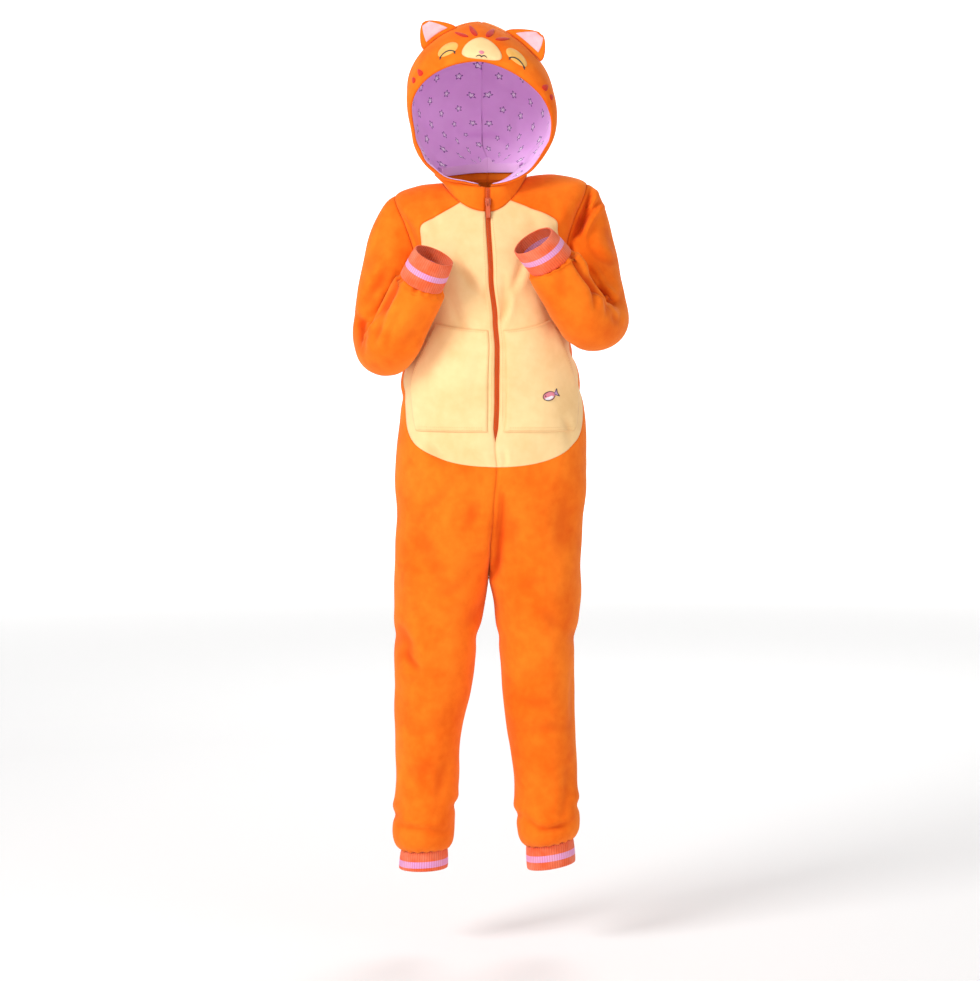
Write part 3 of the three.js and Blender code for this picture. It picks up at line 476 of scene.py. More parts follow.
legCuffs = {
    "right": {"drop": 31, "outerX": 144, "innerX": 67, "frontY": -38, "backY": 46, "tilt": 2},
    "left": {"drop": 37, "outerX": 135, "innerX": 59, "frontY": -38, "backY": 46, "tilt": 0},
}
crotchRow = 14
ankleRow = 23
armhole = {"top": 2, "bottom": 5.1, "reach": 0.13}
belly = {"widest": 8.45, "end": 10.44, "reach": 0.435}
bellyTop = {"share": np.array([0.19, 0.205, 0.23, 0.265, 0.305, 0.35, 0.39, 0.418, 0.433, 0.435])}
pocketRows = {"top": 6.3, "bottom": 9.54}
pocketEdge = {"share": np.array([0.1, 0.11, 0.125, 0.145, 0.17, 0.205, 0.25, 0.3, 0.34, 0.355, 0.34])}
zipSlot = {"half": 4.6, "end": -402, "taper": 34}
# Sleeves from the bicep line round the bend to the cuff's end
arms = {
    "right": rows(
        "x y z back crook broad",
        (163, -16, -166, 50, 44, 42), (167, -22, -200, 49, 38, 43), (169, -33, -232, 47, 31, 43),
        (162, -66, -252, 41, 28, 44), (146, -97, -233, 41, 31, 43), (127, -114, -196, 41, 37, 42),
        (109, -127.2, -159, 41, 40, 41), (104, -131, -149, 35, 35, 35), (84.5, -147, -109, 31, 31, 31),
    ),
    "left": rows(
        "x y z back crook broad",
        (162, -19, -150, 50, 44, 42), (167, -27, -176, 49, 38, 43), (170, -42, -202, 47, 31, 43),
        (160, -77, -214, 41, 29, 44), (141, -106, -197, 41, 32, 43), (119, -122, -163, 41, 37, 42),
        (98, -132.8, -127, 42, 41, 42), (92, -136, -118, 36, 36, 36), (65, -150, -87, 33, 33, 33),
    ),
}
wristRow = 7
cuffEndRow = 8
collarTop = {"frontY": -81, "frontZ": -3, "backY": 66, "backZ": 31}
collarSides = {"right": {"x": 72, "z": 22}, "left": {"x": 56, "z": 30}}
# Arches of the hood from its opening to the nape
hood = rows(
    "around topY topZ half waist bow",
    (0.035, -97, 186, 109, 0.55, 17), (0.1, -99, 199, 113, 0.53, 23), (0.17, -82, 227, 115.5, 0.5, 20),
    (0.27, -42, 248, 116.5, 0.48, 10), (0.4, 5, 253, 116, 0.46, 0), (0.52, 56, 240, 112, 0.45, -6),
    (0.64, 100, 202, 105, 0.45, -10), (0.76, 118, 148, 88, 0.47, -8), (0.87, 108, 91, 58, 0.5, -4),
    (0.985, 70, 32.5, 13, 0.5, 0),
)
napeRow = 9
hoodLean = {"shift": -13, "slope": 0.105, "from": 3, "to": 42}
hoodPeak = 1.2
earSeamRow = 3
ear = {
    "arch": {"right": 0.748, "left": 0.765}, "lift": {"right": 0.5, "left": 1.5},
    "back": {"right": 0.1, "left": 0.45},
    "halfBase": 0.1, "height": 33, "halfThickness": 3, "upright": {"right": -0.3, "left": -0.35},
}
earShape = rows(
    "rise width thick",
    (0, 1, 1), (0.2, 0.95, 1), (0.45, 0.76, 0.95), (0.68, 0.53, 0.85), (0.87, 0.3, 0.7), (0.97, 0.12, 0.5),
)
muzzle = {"v": 1.12, "reachV": 0.72, "reachM": 0.115, "puff": 1.2}


def mix(a, b, share):
    return a + (b - a) * share


def ramp(low, high, value):
    share = np.clip((value - low) / (high - low), 0, 1)
    return share * share * (3 - 2 * share)


def column(table, key, place):
    # A smooth value of one column at a place that counts rows.
    values = table[key]
    last = len(values) - 1
    row = np.clip(np.floor(place).astype(int), 0, last - 1)
    share = place - row
    a, b, c, d = (values[np.clip(row + step, 0, last)] for step in (-1, 0, 1, 2))
    curve = 0.5 * (2 * b + (c - a) * share + (2 * a - 5 * b + 4 * c - d) * share**2
                   + (3 * b - a - 3 * c + d) * share**3)
    return np.where((share < 0) | (share > 1), mix(b, c, share), curve)


def centreX(z):
    heights, places = centreLine["z"], centreLine["x"]
    after = np.clip(np.searchsorted(-heights, -z, side="left"), 1, len(heights) - 1)
    share = np.clip((heights[after - 1] - z) / (heights[after - 1] - heights[after]), 0, 1)
    return mix(places[after - 1], places[after], share * share * (3 - 2 * share))


def points(x, y, z):
    return np.stack(np.broadcast_arrays(x, y, z), axis=-1).astype(float)


def unit(vectors):
    return vectors / np.maximum(np.linalg.norm(vectors, axis=-1, keepdims=True), 1e-9)


def normalsOf(surface, a, b, turn):
    step = 1e-3
    alongA = surface(a + step, b) - surface(a - step, b)
    alongB = surface(a, b + step) - surface(a, b - step)
    return unit(np.cross(alongA, alongB) * turn)


def bodySurface(side):
    # u goes from the centre front (0) by the side seam (0.5) to the centre back (1).
    sign = sides[side]

    def place(t, u):
        t, u = np.broadcast_arrays(np.asarray(t, float), np.asarray(u, float))
        above = np.minimum(t, crotchRow)
        onLeg = t >= crotchRow
        down = np.maximum(t - crotchRow, 0)
        half, whole = np.pi * u, 2 * np.pi * u
        share = np.where(onLeg, 1, column(torso, "leg", above))[..., None]
        frontY, backY = column(torso, "frontY", above), column(torso, "backY", above)
        frontZ, backZ = column(torso, "frontZ", above), column(torso, "backZ", above)
        seamX, seamZ = column(sideSeam[side], "x", above), column(sideSeam[side], "z", above)
        front = np.cos(half) >= 0
        wide = np.sign(np.sin(half)) * np.abs(np.sin(half)) ** fullness
        deep = np.abs(np.cos(half)) ** fullness
        trunk = points(seamX * wide, np.where(front, frontY, backY) * deep,
                       mix(seamZ, np.where(front, frontZ, backZ), np.cos(half) ** 2))
        table = legs[side]
        outer = np.where(onLeg, column(table, "outerX", down), seamX)
        inner = np.where(onLeg, column(table, "innerX", down), 0.2)
        near = np.where(onLeg, column(table, "frontY", down), frontY)
        far = np.where(onLeg, column(table, "backY", down), backY)
        outerZ = np.where(onLeg, column(table, "outerZ", down), seamZ)
        innerZ = np.where(onLeg, column(table, "innerZ", down), frontZ)
        leg = points((outer + inner) / 2 - (outer - inner) / 2 * np.cos(whole),
                     (near + far) / 2 - (far - near) / 2 * np.sin(whole),
                     mix(innerZ, outerZ, (1 - np.cos(whole)) / 2))
        spot = mix(trunk, leg, share)
        sag = centreX(spot[..., 2]) * (1 - ramp(crotchRow, crotchRow + 1, t)) * np.abs(np.cos(half))
        spot[..., 0] = sign * spot[..., 0] + sag
        return spot

    return place


def bodyPlaces(side, t, u):
    surface = bodySurface(side)
    normals = normalsOf(surface, t, u, sides[side])
    atCentre = (t <= crotchRow) & (np.minimum(u, 1 - u) < 0.004) & (normals[..., 0] * sides[side] > 0)
    normals[..., 0] = np.where(atCentre, 0, normals[..., 0])
    return surface(t, u), unit(normals)


def armholeCut(t):
    across = 2 * (t - armhole["top"]) / (armhole["bottom"] - armhole["top"]) - 1
    return armhole["reach"] * np.sqrt(np.clip(1 - across**2, 0, None))


def bellyEdge(t):
    low = (t - belly["widest"]) / (belly["end"] - belly["widest"])
    round_ = belly["reach"] * np.sqrt(np.clip(1 - low**2, 0, None))
    return np.where(t >= belly["end"], 0,
                    np.where(t <= belly["widest"], column(bellyTop, "share", t), round_))


def zipEdge(side, t):
    z = column(torso, "frontZ", t)
    half = zipSlot["half"] * ramp(zipSlot["end"], zipSlot["end"] + zipSlot["taper"], z)
    share = np.arcsin((half / column(sideSeam[side], "x", t)) ** (1 / fullness)) / np.pi
    return np.maximum(cloth["halfSeam"], share)


def pocketEdges(side, t):
    # The pocket's inner and outer edges at a row.
    first, last = zipEdge(side, t), bellyEdge(t) - cloth["insetSeam"]
    start = mix(first, last, 0.045)
    return start, np.minimum(column(pocketEdge, "share", t), mix(start, last, 0.82))


def hermite(start, leave, end, arrive, share):
    s2, s3 = share**2, share**3
    return (start * (2 * s3 - 3 * s2 + 1) + leave * (s3 - 2 * s2 + share)
            + end * (3 * s2 - 2 * s3) + arrive * (s3 - s2))


def sleeveSurface(side):
    # r is 0 at the armhole and 1 at the bicep; turn goes from the top by the front to the underarm.
    sign = sides[side]
    table = arms[side]
    body = bodySurface(side)

    def centre(r):
        return points(sign * column(table, "x", r), column(table, "y", r), column(table, "z", r))

    shoulder, elbow, wrist = centre(np.array([0.0, 3.0, float(wristRow)]))
    across = unit(np.cross(shoulder - elbow, wrist - elbow))
    across = across * (1 if across[0] * sign > 0 else -1)

    def heading(r):
        return unit(centre(r + 0.02) - centre(r - 0.02))

    backward = np.sign(np.cross(heading(np.array(0.0)), across)[1])

    def ring(r, turn):
        away = unit(np.cross(heading(r), across)) * backward
        reach = np.where(np.sin(turn) > 0, column(table, "crook", r), column(table, "back", r))
        broad = column(table, "broad", r) * np.cos(turn)
        return centre(r) + across * broad[..., None] - away * (np.sin(turn) * reach)[..., None]

    def place(r, turn):
        r, turn = np.broadcast_arrays(np.asarray(r, float), np.asarray(turn, float))
        low = (1 - np.cos(turn)) / 2
        start = body(mix(armhole["top"], armhole["bottom"], low), 0.5 - armhole["reach"] * np.sin(turn))
        leave = points(sign * mix(105, 30, low), -14 * np.sin(turn), mix(-30, -22, low))
        arrive = heading(np.zeros_like(r)) * mix(120, 26, low)[..., None]
        cap = hermite(start, leave, ring(np.zeros_like(r), turn), arrive, np.clip(r, -0.01, 1)[..., None])
        return np.where((r >= 1)[..., None], ring(np.maximum(r - 1, 0), turn), cap)

    return place


def collarRing(side, u):
    turn = np.pi * u
    front = u < 0.5
    middleZ = np.where(front, collarTop["frontZ"], collarTop["backZ"])
    z = mix(collarSides[side]["z"], middleZ, np.cos(turn) ** 2)
    deep = np.where(front, collarTop["frontY"], collarTop["backY"]) * np.abs(np.cos(turn)) ** fullness
    x = sides[side] * collarSides[side]["x"] * np.clip(np.sin(turn), 0, None) ** fullness
    return points(x + centreX(z) * np.abs(np.cos(turn)), deep, z)


def hoodSurface(side):
    # v counts the arches from the opening to the nape; q goes from the collar (0) to the middle (1).
    sign = sides[side]

    def place(v, q):
        v, q = np.broadcast_arrays(np.asarray(v, float), np.asarray(q, float))
        base = collarRing(side, np.clip(column(hood, "around", v), 0, 1))
        half = np.maximum(column(hood, "half", v), np.abs(base[..., 0]) + 0.5)
        foot = np.arccos(np.clip(np.abs(base[..., 0]) / half, 0, 1))
        turn = mix(-foot, np.pi / 2, q)
        middle = points(0, base[..., 1], base[..., 2])
        rise = points(0, column(hood, "topY", v), column(hood, "topZ", v)) - middle
        waist = column(hood, "waist", v)
        height = waist + np.where(turn > 0, 1 - waist, waist / np.sin(foot)) * np.sin(turn)
        back = unit(points(0, rise[..., 2], -rise[..., 1]))
        bow = column(hood, "bow", v) * np.sin(np.pi * np.clip(height, 0, 1))
        spot = middle + rise * height[..., None] + back * bow[..., None]
        spot[..., 0] += sign * half * np.clip(np.cos(turn), 0, 1) ** np.where(turn > 0, hoodPeak, 1)
        lean = ramp(hoodLean["from"], hoodLean["to"], spot[..., 2] - base[..., 2])
        fromMiddle = spot[..., 0].copy()
        spot[..., 0] += hoodLean["shift"] * lean + centreX(spot[..., 2]) * (1 - lean)
        spot[..., 2] += cloth["seamGap"] * 0.5 - hoodLean["slope"] * fromMiddle * lean
        return spot

    return place


def hoodPlaces(side, v, q):
    surface = hoodSurface(side)
    inside = np.clip(v, 0.002, napeRow - 0.002)
    normals = normalsOf(surface, inside, np.clip(q, 0.002, 0.999), sides[side])
    normals[..., 0] = np.where(q > 0.996, 0, normals[..., 0])
    return surface(v, q), unit(normals)


def facePlaces(v, m):
    # A place on the hood by its row and its share from the middle, plus to the left.
    left = hoodPlaces("left", v, 1 - np.abs(m))
    right = hoodPlaces("right", v, 1 - np.abs(m))
    onLeft = (m > 0)[..., None]
    return tuple(np.where(onLeft, a, b) for a, b in zip(left, right))


# Folds. Each lies between two places in the view that is named: front and back are seen in x and z,
# the sides in y and z. deep is a trough, or a ridge where it is less than 0; bow bends it sideways,
# and lip raises the cloth on one side of it.
views = {
    "front": {"across": 0, "up": 2, "facing": (0, -1, 0)},
    "back": {"across": 0, "up": 2, "facing": (0, 1, 0)},
    "left": {"across": 1, "up": 2, "facing": (1, 0, 0)},
    "right": {"across": 1, "up": 2, "facing": (-1, 0, 0)},
    "top": {"across": 0, "up": 1, "facing": (0, 0, 1)},
}


def folds(view, *lines):
    names = ("x0", "z0", "x1", "z1", "deep", "wide", "bow", "lip")
    return [dict(zip(names, line), view=view) for line in lines]


def foldRelief(places, normals, foldList):
    relief = np.zeros(places.shape[:-1])
    for fold in foldList:
        view = views[fold["view"]]
        start = np.array([fold["x0"], fold["z0"]], float)
        way = np.array([fold["x1"], fold["z1"]], float) - start
        length = np.hypot(*way)
        way /= length
        seen = places[..., [view["across"], view["up"]]] - start
        along = (seen @ way) / length
        aside = seen @ np.array([-way[1], way[0]]) - fold["bow"] * 4 * along * (1 - along)
        fade = np.clip(1 - (2 * along - 1) ** 2, 0, None) ** 0.75
        facing = ramp(-0.05, 0.35, normals @ np.array(view["facing"], float))
        shape = np.exp(-((aside / fold["wide"]) ** 2))
        lip = fold["lip"] * np.exp(-(((aside - 1.7 * fold["wide"]) / (1.2 * fold["wide"])) ** 2))
        relief -= fold["deep"] * fade * facing * (shape - lip)
    return relief


def handling(places, size=1.0):
    # The soft unevenness of worn plush: long shallow waves that lie in no one direction.
    waves = (
        (0.048, 0.021, 0.037, 0.3, 0.75), (-0.031, 0.044, 0.052, 1.9, 0.6), (0.022, -0.05, 0.068, 4.1, 0.5),
        (0.083, 0.03, -0.041, 2.6, 0.32), (-0.06, 0.071, 0.092, 5.2, 0.26), (0.105, -0.064, 0.074, 0.9, 0.18),
    )
    x, y, z = (places[..., i] for i in range(3))
    return size * sum(height * np.sin(x * a + y * b + z * c + phase) for a, b, c, phase, height in waves)


# Cloth
# Painted shade in folds: how deep in millimetres a fold sinks before it darkens, and how much deeper it must
# sink to darken fully
creaseShade = {"from": 1.0, "reach": 5.0}


def borderOf(rowCount, columnCount):
    # The grid's border, once round.
    top = [(0, j) for j in range(columnCount)]
    right = [(i, columnCount - 1) for i in range(1, rowCount)]
    bottom = [(rowCount - 1, j) for j in range(columnCount - 2, -1, -1)]
    left = [(i, 0) for i in range(rowCount - 2, 0, -1)]
    return top + right + bottom + left


def edgeDistance(places, around):
    # How far each point of a grid is from its nearest edge, in millimetres, along the cloth.
    def walk(grid):
        steps = np.linalg.norm(np.diff(grid, axis=0), axis=-1)
        run = np.concatenate([np.zeros((1, grid.shape[1])), np.cumsum(steps, axis=0)])
        return run, run[-1] - run

    down, up = walk(places)
    if around:
        return np.minimum(down, up), down, np.zeros_like(down)
    across, backAcross = (run.T for run in walk(np.swapaxes(places, 0, 1)))
    return np.minimum(np.minimum(down, up), np.minimum(across, backAcross)), down, across


hem = 0.35
dipReach = 2.6


def makeCloth(name, places, normals, thickness, finish, slotName, around=False, lift=0.0, relief=None,
              replaces=(), seamDip=0.35, valleyShade=None):
    # A closed wall of cloth over a grid of places, with rounded edges that dip into their seams.
    nearest, down, across = edgeDistance(places, around)
    height = lift - seamDip * np.exp(-((nearest / dipReach) ** 2))
    if relief is not None:
        height = height + relief
        if valleyShade is None:
            # Painted shade: the nap is darkened where a fold sinks
            valleyShade = np.clip((-relief - creaseShade["from"]) / creaseShade["reach"], 0, 1)
    outer = places + normals * height[..., None]
    inner = outer - normals * thickness
    rowCount, columnCount = places.shape[:2]
    count = rowCount * columnCount
    index = np.arange(count).reshape(rowCount, columnCount)
    wrapped = np.concatenate([index, index[:, :1]], axis=1) if around else index
    quads = twoLayers(wrapped, count)
    vertices = [outer.reshape(-1, 3), inner.reshape(-1, 3)]
    if around:
        firstRow = [(0, j) for j in range(columnCount)]
        loops = [firstRow, [(rowCount - 1, j) for _, j in firstRow][::-1]]
    else:
        loops = [borderOf(rowCount, columnCount)]
    total = 2 * count
    sources = [index.reshape(-1), index.reshape(-1)]
    for loop in loops:
        rims = np.array([index[i, j] for i, j in loop])
        insides = np.array([
            index[min(max(i, 1), rowCount - 2), j if around else min(max(j, 1), columnCount - 2)]
            for i, j in loop])
        flatOuter = outer.reshape(-1, 3)
        outward = unit(flatOuter[rims] - flatOuter[insides])
        middle = (flatOuter[rims] + inner.reshape(-1, 3)[rims]) / 2 + outward * hem * thickness
        vertices.append(middle)
        sources.append(rims)
        ring = np.arange(len(loop)) + total
        after, rimsAfter = np.roll(ring, -1), np.roll(rims, -1)
        quads.append(np.stack([rims, rimsAfter, after, ring], -1))
        quads.append(np.stack([ring, after, rimsAfter + count, rims + count], -1))
        total += len(loop)
    source = np.concatenate(sources)
    return buildPiece(name, np.concatenate(vertices), np.concatenate(quads), finish, slotName, replaces, {
        "seam": nearest.reshape(-1)[source] * metre,
        "down": down.reshape(-1)[source] * metre,
        "across": across.reshape(-1)[source] * metre,
        "valleyShade": (np.zeros(count) if valleyShade is None else valleyShade.reshape(-1))[source],
    })


def twoLayers(index, count):
    # The faces of a grid and of its inner copy, which looks the other way.
    a, b, c, d = index[:-1, :-1], index[1:, :-1], index[1:, 1:], index[:-1, 1:]
    return [np.stack([a, b, c, d], -1).reshape(-1, 4), np.stack([a, d, c, b], -1).reshape(-1, 4) + count]


def buildPiece(name, vertices, faces, finish, slotName, replaces, measures):
    # A closed piece of quads, facing outwards, with the measures that its finish reads.
    a, b, c, d = (vertices[faces[:, i]] for i in range(4))
    if np.sum(a * np.cross(b, c)) + np.sum(a * np.cross(c, d)) < 0:
        faces = faces[:, ::-1]
    mesh = bpy.data.meshes.new(name)
    mesh.from_pydata((vertices * metre).tolist(), [], faces.tolist())
    for key, values in measures.items():
        mesh.attributes.new(key, "FLOAT", "POINT").data.foreach_set("value", values.astype(np.float32))
    mesh.shade_smooth()
    mesh.materials.append(finish)
    piece = linked(name, mesh)
    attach(piece, "garment")
    if replaces:
        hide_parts(*replaces)
    return piece


def buildTrim(name, vertices, faces, finish, smooth=True):
    # Thread or teeth: a mesh of any faces, turned to face outwards.
    mesh = bpy.data.meshes.new(name)
    mesh.from_pydata((vertices * metre).tolist(), [], faces)
    if smooth:
        mesh.shade_smooth()
    mesh.materials.append(finish)
    piece = linked(name, mesh)
    bpy.ops.object.select_all(action="DESELECT")
    piece.select_set(True)
    bpy.context.view_layer.objects.active = piece
    bpy.ops.object.mode_set(mode="EDIT")
    bpy.ops.mesh.select_all(action="SELECT")
    bpy.ops.mesh.normals_make_consistent(inside=False)
    bpy.ops.object.mode_set(mode="OBJECT")
    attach(piece, "garment")
    return piece


def lengthAlong(line):
    return np.concatenate([[0], np.cumsum(np.linalg.norm(np.diff(line, axis=0), axis=-1))])


def copyAlong(line, outward, along, stops, shape, faces, axesAt):
    # One shape's points and faces, copied at each stop on a line.
    run = lengthAlong(line)
    vertices, polygons = [], []
    for number, stop in enumerate(stops):
        spot, out, way = (np.array([np.interp(stop, run, grid[:, i]) for i in range(3)])
                          for grid in (line, outward, along))
        centre, axes = axesAt(number, spot, out, way)
        vertices.append(centre + shape @ axes)
        polygons += [[number * len(shape) + corner for corner in face] for face in faces]
    return np.concatenate(vertices), polygons


def takeShape(sample):
    # The points and faces of a primitive, which is then removed.
    shape = np.array([v.co[:] for v in sample.data.vertices])
    faces = [list(p.vertices) for p in sample.data.polygons]
    bpy.data.objects.remove(sample)
    return shape, faces


def spacedRows(surface, first, last, u, spacing, extra=()):
    # Rows that are evenly spaced along the cloth, with some that a cut's curve needs.
    fine = np.linspace(first, last, 1200)
    run = lengthAlong(surface(fine, np.full_like(fine, u)))
    even = np.interp(np.linspace(0, run[-1], int(run[-1] / spacing) + 2), run, fine)
    wanted = [t for t in extra if first < t < last]
    near = np.ones(len(even))
    if wanted:
        near = np.min(np.abs(even[:, None] - np.array(wanted)[None, :]), axis=1)
    kept = even[(near > 0.02) | (even == even[0]) | (even == even[-1])]
    return np.unique(np.concatenate([kept, wanted]))


def arcRows(first, last, count, part="both"):
    angles = np.linspace(0, np.pi if part == "both" else np.pi / 2, count + 1)
    return mix(first, last, (1 - np.cos(angles)) / 2 if part == "both" else np.sin(angles))


# Body
bodyFolds = (
    # Under the belly the cloth sinks beside the crotch seam, and the legs hang from the hips
    folds("front", (5, -612, 15, -456, 9.0, 9, -2, 0.5), (34, -575, 20, -470, 3.0, 14, -6, 0.3))
    + folds("front", (-8, -480, -46, -560, 3.2, 14, -5, 0.4), (-50, -441, -122, -520, 3.4, 15, 5, 0.4))
    + folds("front", (-128, -505, -70, -640, 2.4, 20, 8, 0.4), (128, -470, 112, -600, 3.0, 18, -8, 0.4))
    + folds("front", (30, -630, 112, -596, 2.6, 13, 5, 0.4), (69, -653, 108, -690, 3.0, 13, 4, 0.4))
    + folds("front", (-20, -585, -90, -640, 2.6, 13, 8, 0.5), (-8, -640, -50, -700, 2.4, 12, 4, 0.4))
    # Knees: a few slanting folds where the legs have been bent
    + folds("front", (-151, -672, -110, -766, 4.4, 10, 7, 0.6), (-134, -715, -114, -748, 4.2, 7, -5, 0.5))
    + folds("front", (-148, -790, -112, -762, 3.4, 8, 4, 0.5), (-100, -700, -60, -735, 2.4, 13, 5, 0.4))
    + folds("front", (-140, -850, -60, -832, 2.4, 12, -5, 0.4), (33, -852, 129, -842, 3.2, 12, 5, 0.5))
    + folds("front", (129, -744, 127, -860, 4.0, 8, 4, 0.4), (40, -760, 112, -738, 2.8, 15, -5, 0.4))
    + folds("front", (36, -800, 96, -815, 2.4, 13, 4, 0.4), (124, -900, 108, -1004, 3.6, 9, 5, 0.4))
    + folds("front", (-140, -920, -80, -900, 2.6, 13, 5, 0.4), (-62, -880, -84, -985, 2.8, 10, -4, 0.4))
    # Ankles: the plush sinks over its gathers
    + folds("front", (69, -1002, 134, -992, 5.0, 5, -3, 0.6), (-150, -1000, -62, -1012, 4.6, 6, 5, 0.6))
    + folds("front", (52, -985, 88, -1000, 3.2, 6, -3, 0.5), (-130, -985, -80, -994, 2.8, 6, 3, 0.5))
    # Soft upright folds beside the zip and across the belly
    + folds("front", (-5, -138, -3, -192, 3.0, 4, -2, 0.4), (22, -130, 14, -225, 3.0, 6, 3, 0.4))
    + folds("front", (-54, -100, -5, -175, 3.6, 9, -5, 0.4), (-66, -150, -24, -236, 3.2, 10, -6, 0.4))
    + folds("front", (55, -94, 27, -168, 4.4, 7, 5, 0.5), (30, -165, 16, -210, 3.2, 5, 3, 0.4))
    + folds("front", (74, -150, 96, -232, 3.0, 8, 5, 0.4), (-14, -232, -30, -330, 1.8, 9, 4, 0.3))
    + folds("front", (-112, -352, -56, -326, 2.0, 12, 4, 0.4), (30, -300, 96, -318, 2.2, 12, -4, 0.4))
    + folds("front", (-110, -396, -66, -440, 2.6, 9, 4, 0.4), (20, -402, 24, -432, 2.6, 4, 1, 0.4))
    + folds("front", (-34, -408, 2, -436, 2.0, 6, 2, 0.4), (112, -350, 124, -404, 3.0, 7, 3, 0.4))
    # The chest and shoulders, drawn towards the raised sleeves
    + folds("front", (-151, -40, -110, -112, 3.0, 13, 6, 0.4), (-96, -34, -84, -104, 2.4, 11, 4, 0.3))
    + folds("front", (96, -20, 112, -80, 3.0, 11, -5, 0.4), (60, -30, 84, -92, 2.2, 11, -4, 0.3))
    # The back, as such a garment falls when it is worn
    + folds("back", (2, -70, 4, -330, 2.0, 14, 4, 0.3), (-90, -110, -40, -230, 4.0, 15, -8, 0.4))
    + folds("back", (92, -100, 44, -220, 3.8, 14, 8, 0.4), (-60, -250, 70, -270, 3.8, 13, -8, 0.5))
    + folds("back", (-90, -300, 40, -318, 3.4, 12, -7, 0.5), (96, -330, -30, -352, 3.0, 11, 6, 0.4))
    + folds("back", (-70, -500, -20, -600, 5.0, 11, -6, 0.4), (72, -505, 22, -598, 4.8, 11, 6, 0.4))
    + folds("back", (-130, -520, -70, -640, 3.2, 17, 6, 0.4), (126, -520, 70, -640, 3.2, 17, -6, 0.4))
    + folds("back", (-128, -790, -60, -775, 3.8, 11, 5, 0.5), (48, -778, 118, -792, 3.8, 11, -5, 0.5))
    + folds("back", (-120, -835, -70, -820, 3.0, 10, 4, 0.4), (50, -826, 112, -838, 3.0, 10, -4, 0.4))
    + folds("back", (-138, -1000, -72, -1008, 4.4, 7, 5, 0.5), (52, -988, 126, -982, 4.4, 7, -4, 0.5))
    # The sides below the sleeves
    + folds("left", (-60, -250, 40, -290, 3.4, 11, 6, 0.4), (-50, -300, 60, -330, 2.8, 11, -5, 0.4))
    + folds("right", (-60, -260, 40, -296, 3.4, 11, 6, 0.4), (-50, -310, 60, -340, 2.8, 11, -5, 0.4))
    + folds("left", (-50, -700, 50, -720, 2.8, 14, 5, 0.4), (-40, -970, 45, -985, 3.6, 8, 5, 0.5))
    + folds("right", (-50, -705, 50, -690, 2.8, 14, -5, 0.4), (-40, -985, 45, -1000, 3.6, 8, 5, 0.5))
)
armholeArc = arcRows(armhole["top"], armhole["bottom"], 26)
bellyArc = arcRows(belly["widest"], belly["end"], 26, "end")


legGather = {"reach": 1.9, "waves": 17, "phase": {"right": 2.1, "left": 0.7}}
legPress = {"deep": 0.8, "wide": 0.05}


def cuffGather(side, t, turn):
    # Small puckers where the plush is gathered into the rib, strongest at the seam.
    phase = legGather["phase"][side]
    near = np.clip(1 - (ankleRow - t) / legGather["reach"], 0, 1) ** 2
    unevenness = 1 + 0.45 * np.sin(3 * turn + phase) + 0.25 * np.sin(5 * turn - 2 * phase)
    return near * unevenness * (np.sin(legGather["waves"] * turn + phase) - 0.4)


def bodyRelief(side, t, u, places, normals):
    relief = foldRelief(places, normals, bodyFolds) + handling(places, 0.8)
    relief = relief + cuffGather(side, t, 2 * np.pi * u)
    # The two halves meet in the middle, so nothing moves there
    middle = np.minimum(u, 1 - u)
    onLeg = mix(ramp(0.0, 0.07, middle), 1, ramp(crotchRow + 0.6, crotchRow + 1.6, t))
    keep = np.where(t < crotchRow, ramp(0.0, 0.02, middle), onLeg)
    neck = ramp(0, 0.5, t)
    hole = ramp(0, 0.05, np.abs(u - 0.5) - armholeCut(t) + np.where(armholeCut(t) > 0, 0, 1))
    # The trouser legs press on each other just below the crotch
    pressed = legPress["deep"] * (1 - ramp(0, legPress["wide"], middle))
    pressed = pressed * ramp(crotchRow, crotchRow + 0.3, t) * (1 - ramp(crotchRow + 1, crotchRow + 1.6, t))
    return relief * keep * neck * hole + pressed


# Columns across each panel, and the distance between its rows in millimetres
columns = {
    "front": 44, "back": 46, "belly": 40, "pocket": 34, "sleeve": 84, "collar": 64, "hood": 60, "face": 56,
}
spacing = {"body": 4.0, "pocket": 3.0, "sleeve": 3.6, "hood": 4.2, "face": 3.2}


def bodyPanel(name, side, tRows, first, last, across, finish, slotName, replaces, thickness=cloth["fleece"],
              lift=0.0, extra=None, **more):
    t = tRows[:, None]
    u = mix(first(t), last(t), np.linspace(0, 1, across)[None, :])
    t = np.broadcast_to(t, u.shape)
    places, normals = bodyPlaces(side, t, u)
    relief = bodyRelief(side, t, u, places, normals)
    if extra is not None:
        relief = relief + extra(t, u)
    return makeCloth(name, places, normals, thickness, finishes[finish], slotName, lift=lift,
                     relief=relief, replaces=replaces, **more)


def makeBody():
    for side in sides:
        surface = bodySurface(side)
        allRows = spacedRows(surface, 0, ankleRow, 0.3, spacing["body"], [*armholeArc, *bellyArc])
        backRows = spacedRows(surface, 0, ankleRow, 0.7, spacing["body"], armholeArc)
        seam, inset = cloth["halfSeam"], cloth["insetSeam"]
        front = bodyPanel(
            f"front_panel_{side}", side, allRows,
            lambda t: bellyEdge(t) + np.where(t < belly["end"], inset, seam),
            lambda t: 0.5 - armholeCut(t) - seam, columns["front"], "plush", "plush", [f"front_{side}"])
        back = bodyPanel(
            f"back_panel_{side}", side, backRows, lambda t: 0.5 + armholeCut(t) + seam,
            lambda t: np.full_like(t, 1 - seam), columns["back"], "plush", "plush", [f"back_{side}"])
        bellyRows = allRows[allRows <= belly["end"]]
        inlay = bodyPanel(
            f"belly_panel_{side}", side, bellyRows, lambda t: zipEdge(side, t),
            lambda t: bellyEdge(t) - inset, columns["belly"], "cream", "cream_plush", [f"belly_{side}"])
        makePocket(side, surface)
    makeSeamStay()
    print("body ready")


seamStay = {"top": -548, "bottom": -609, "half": 5.5, "y": -2, "thick": 0.6}


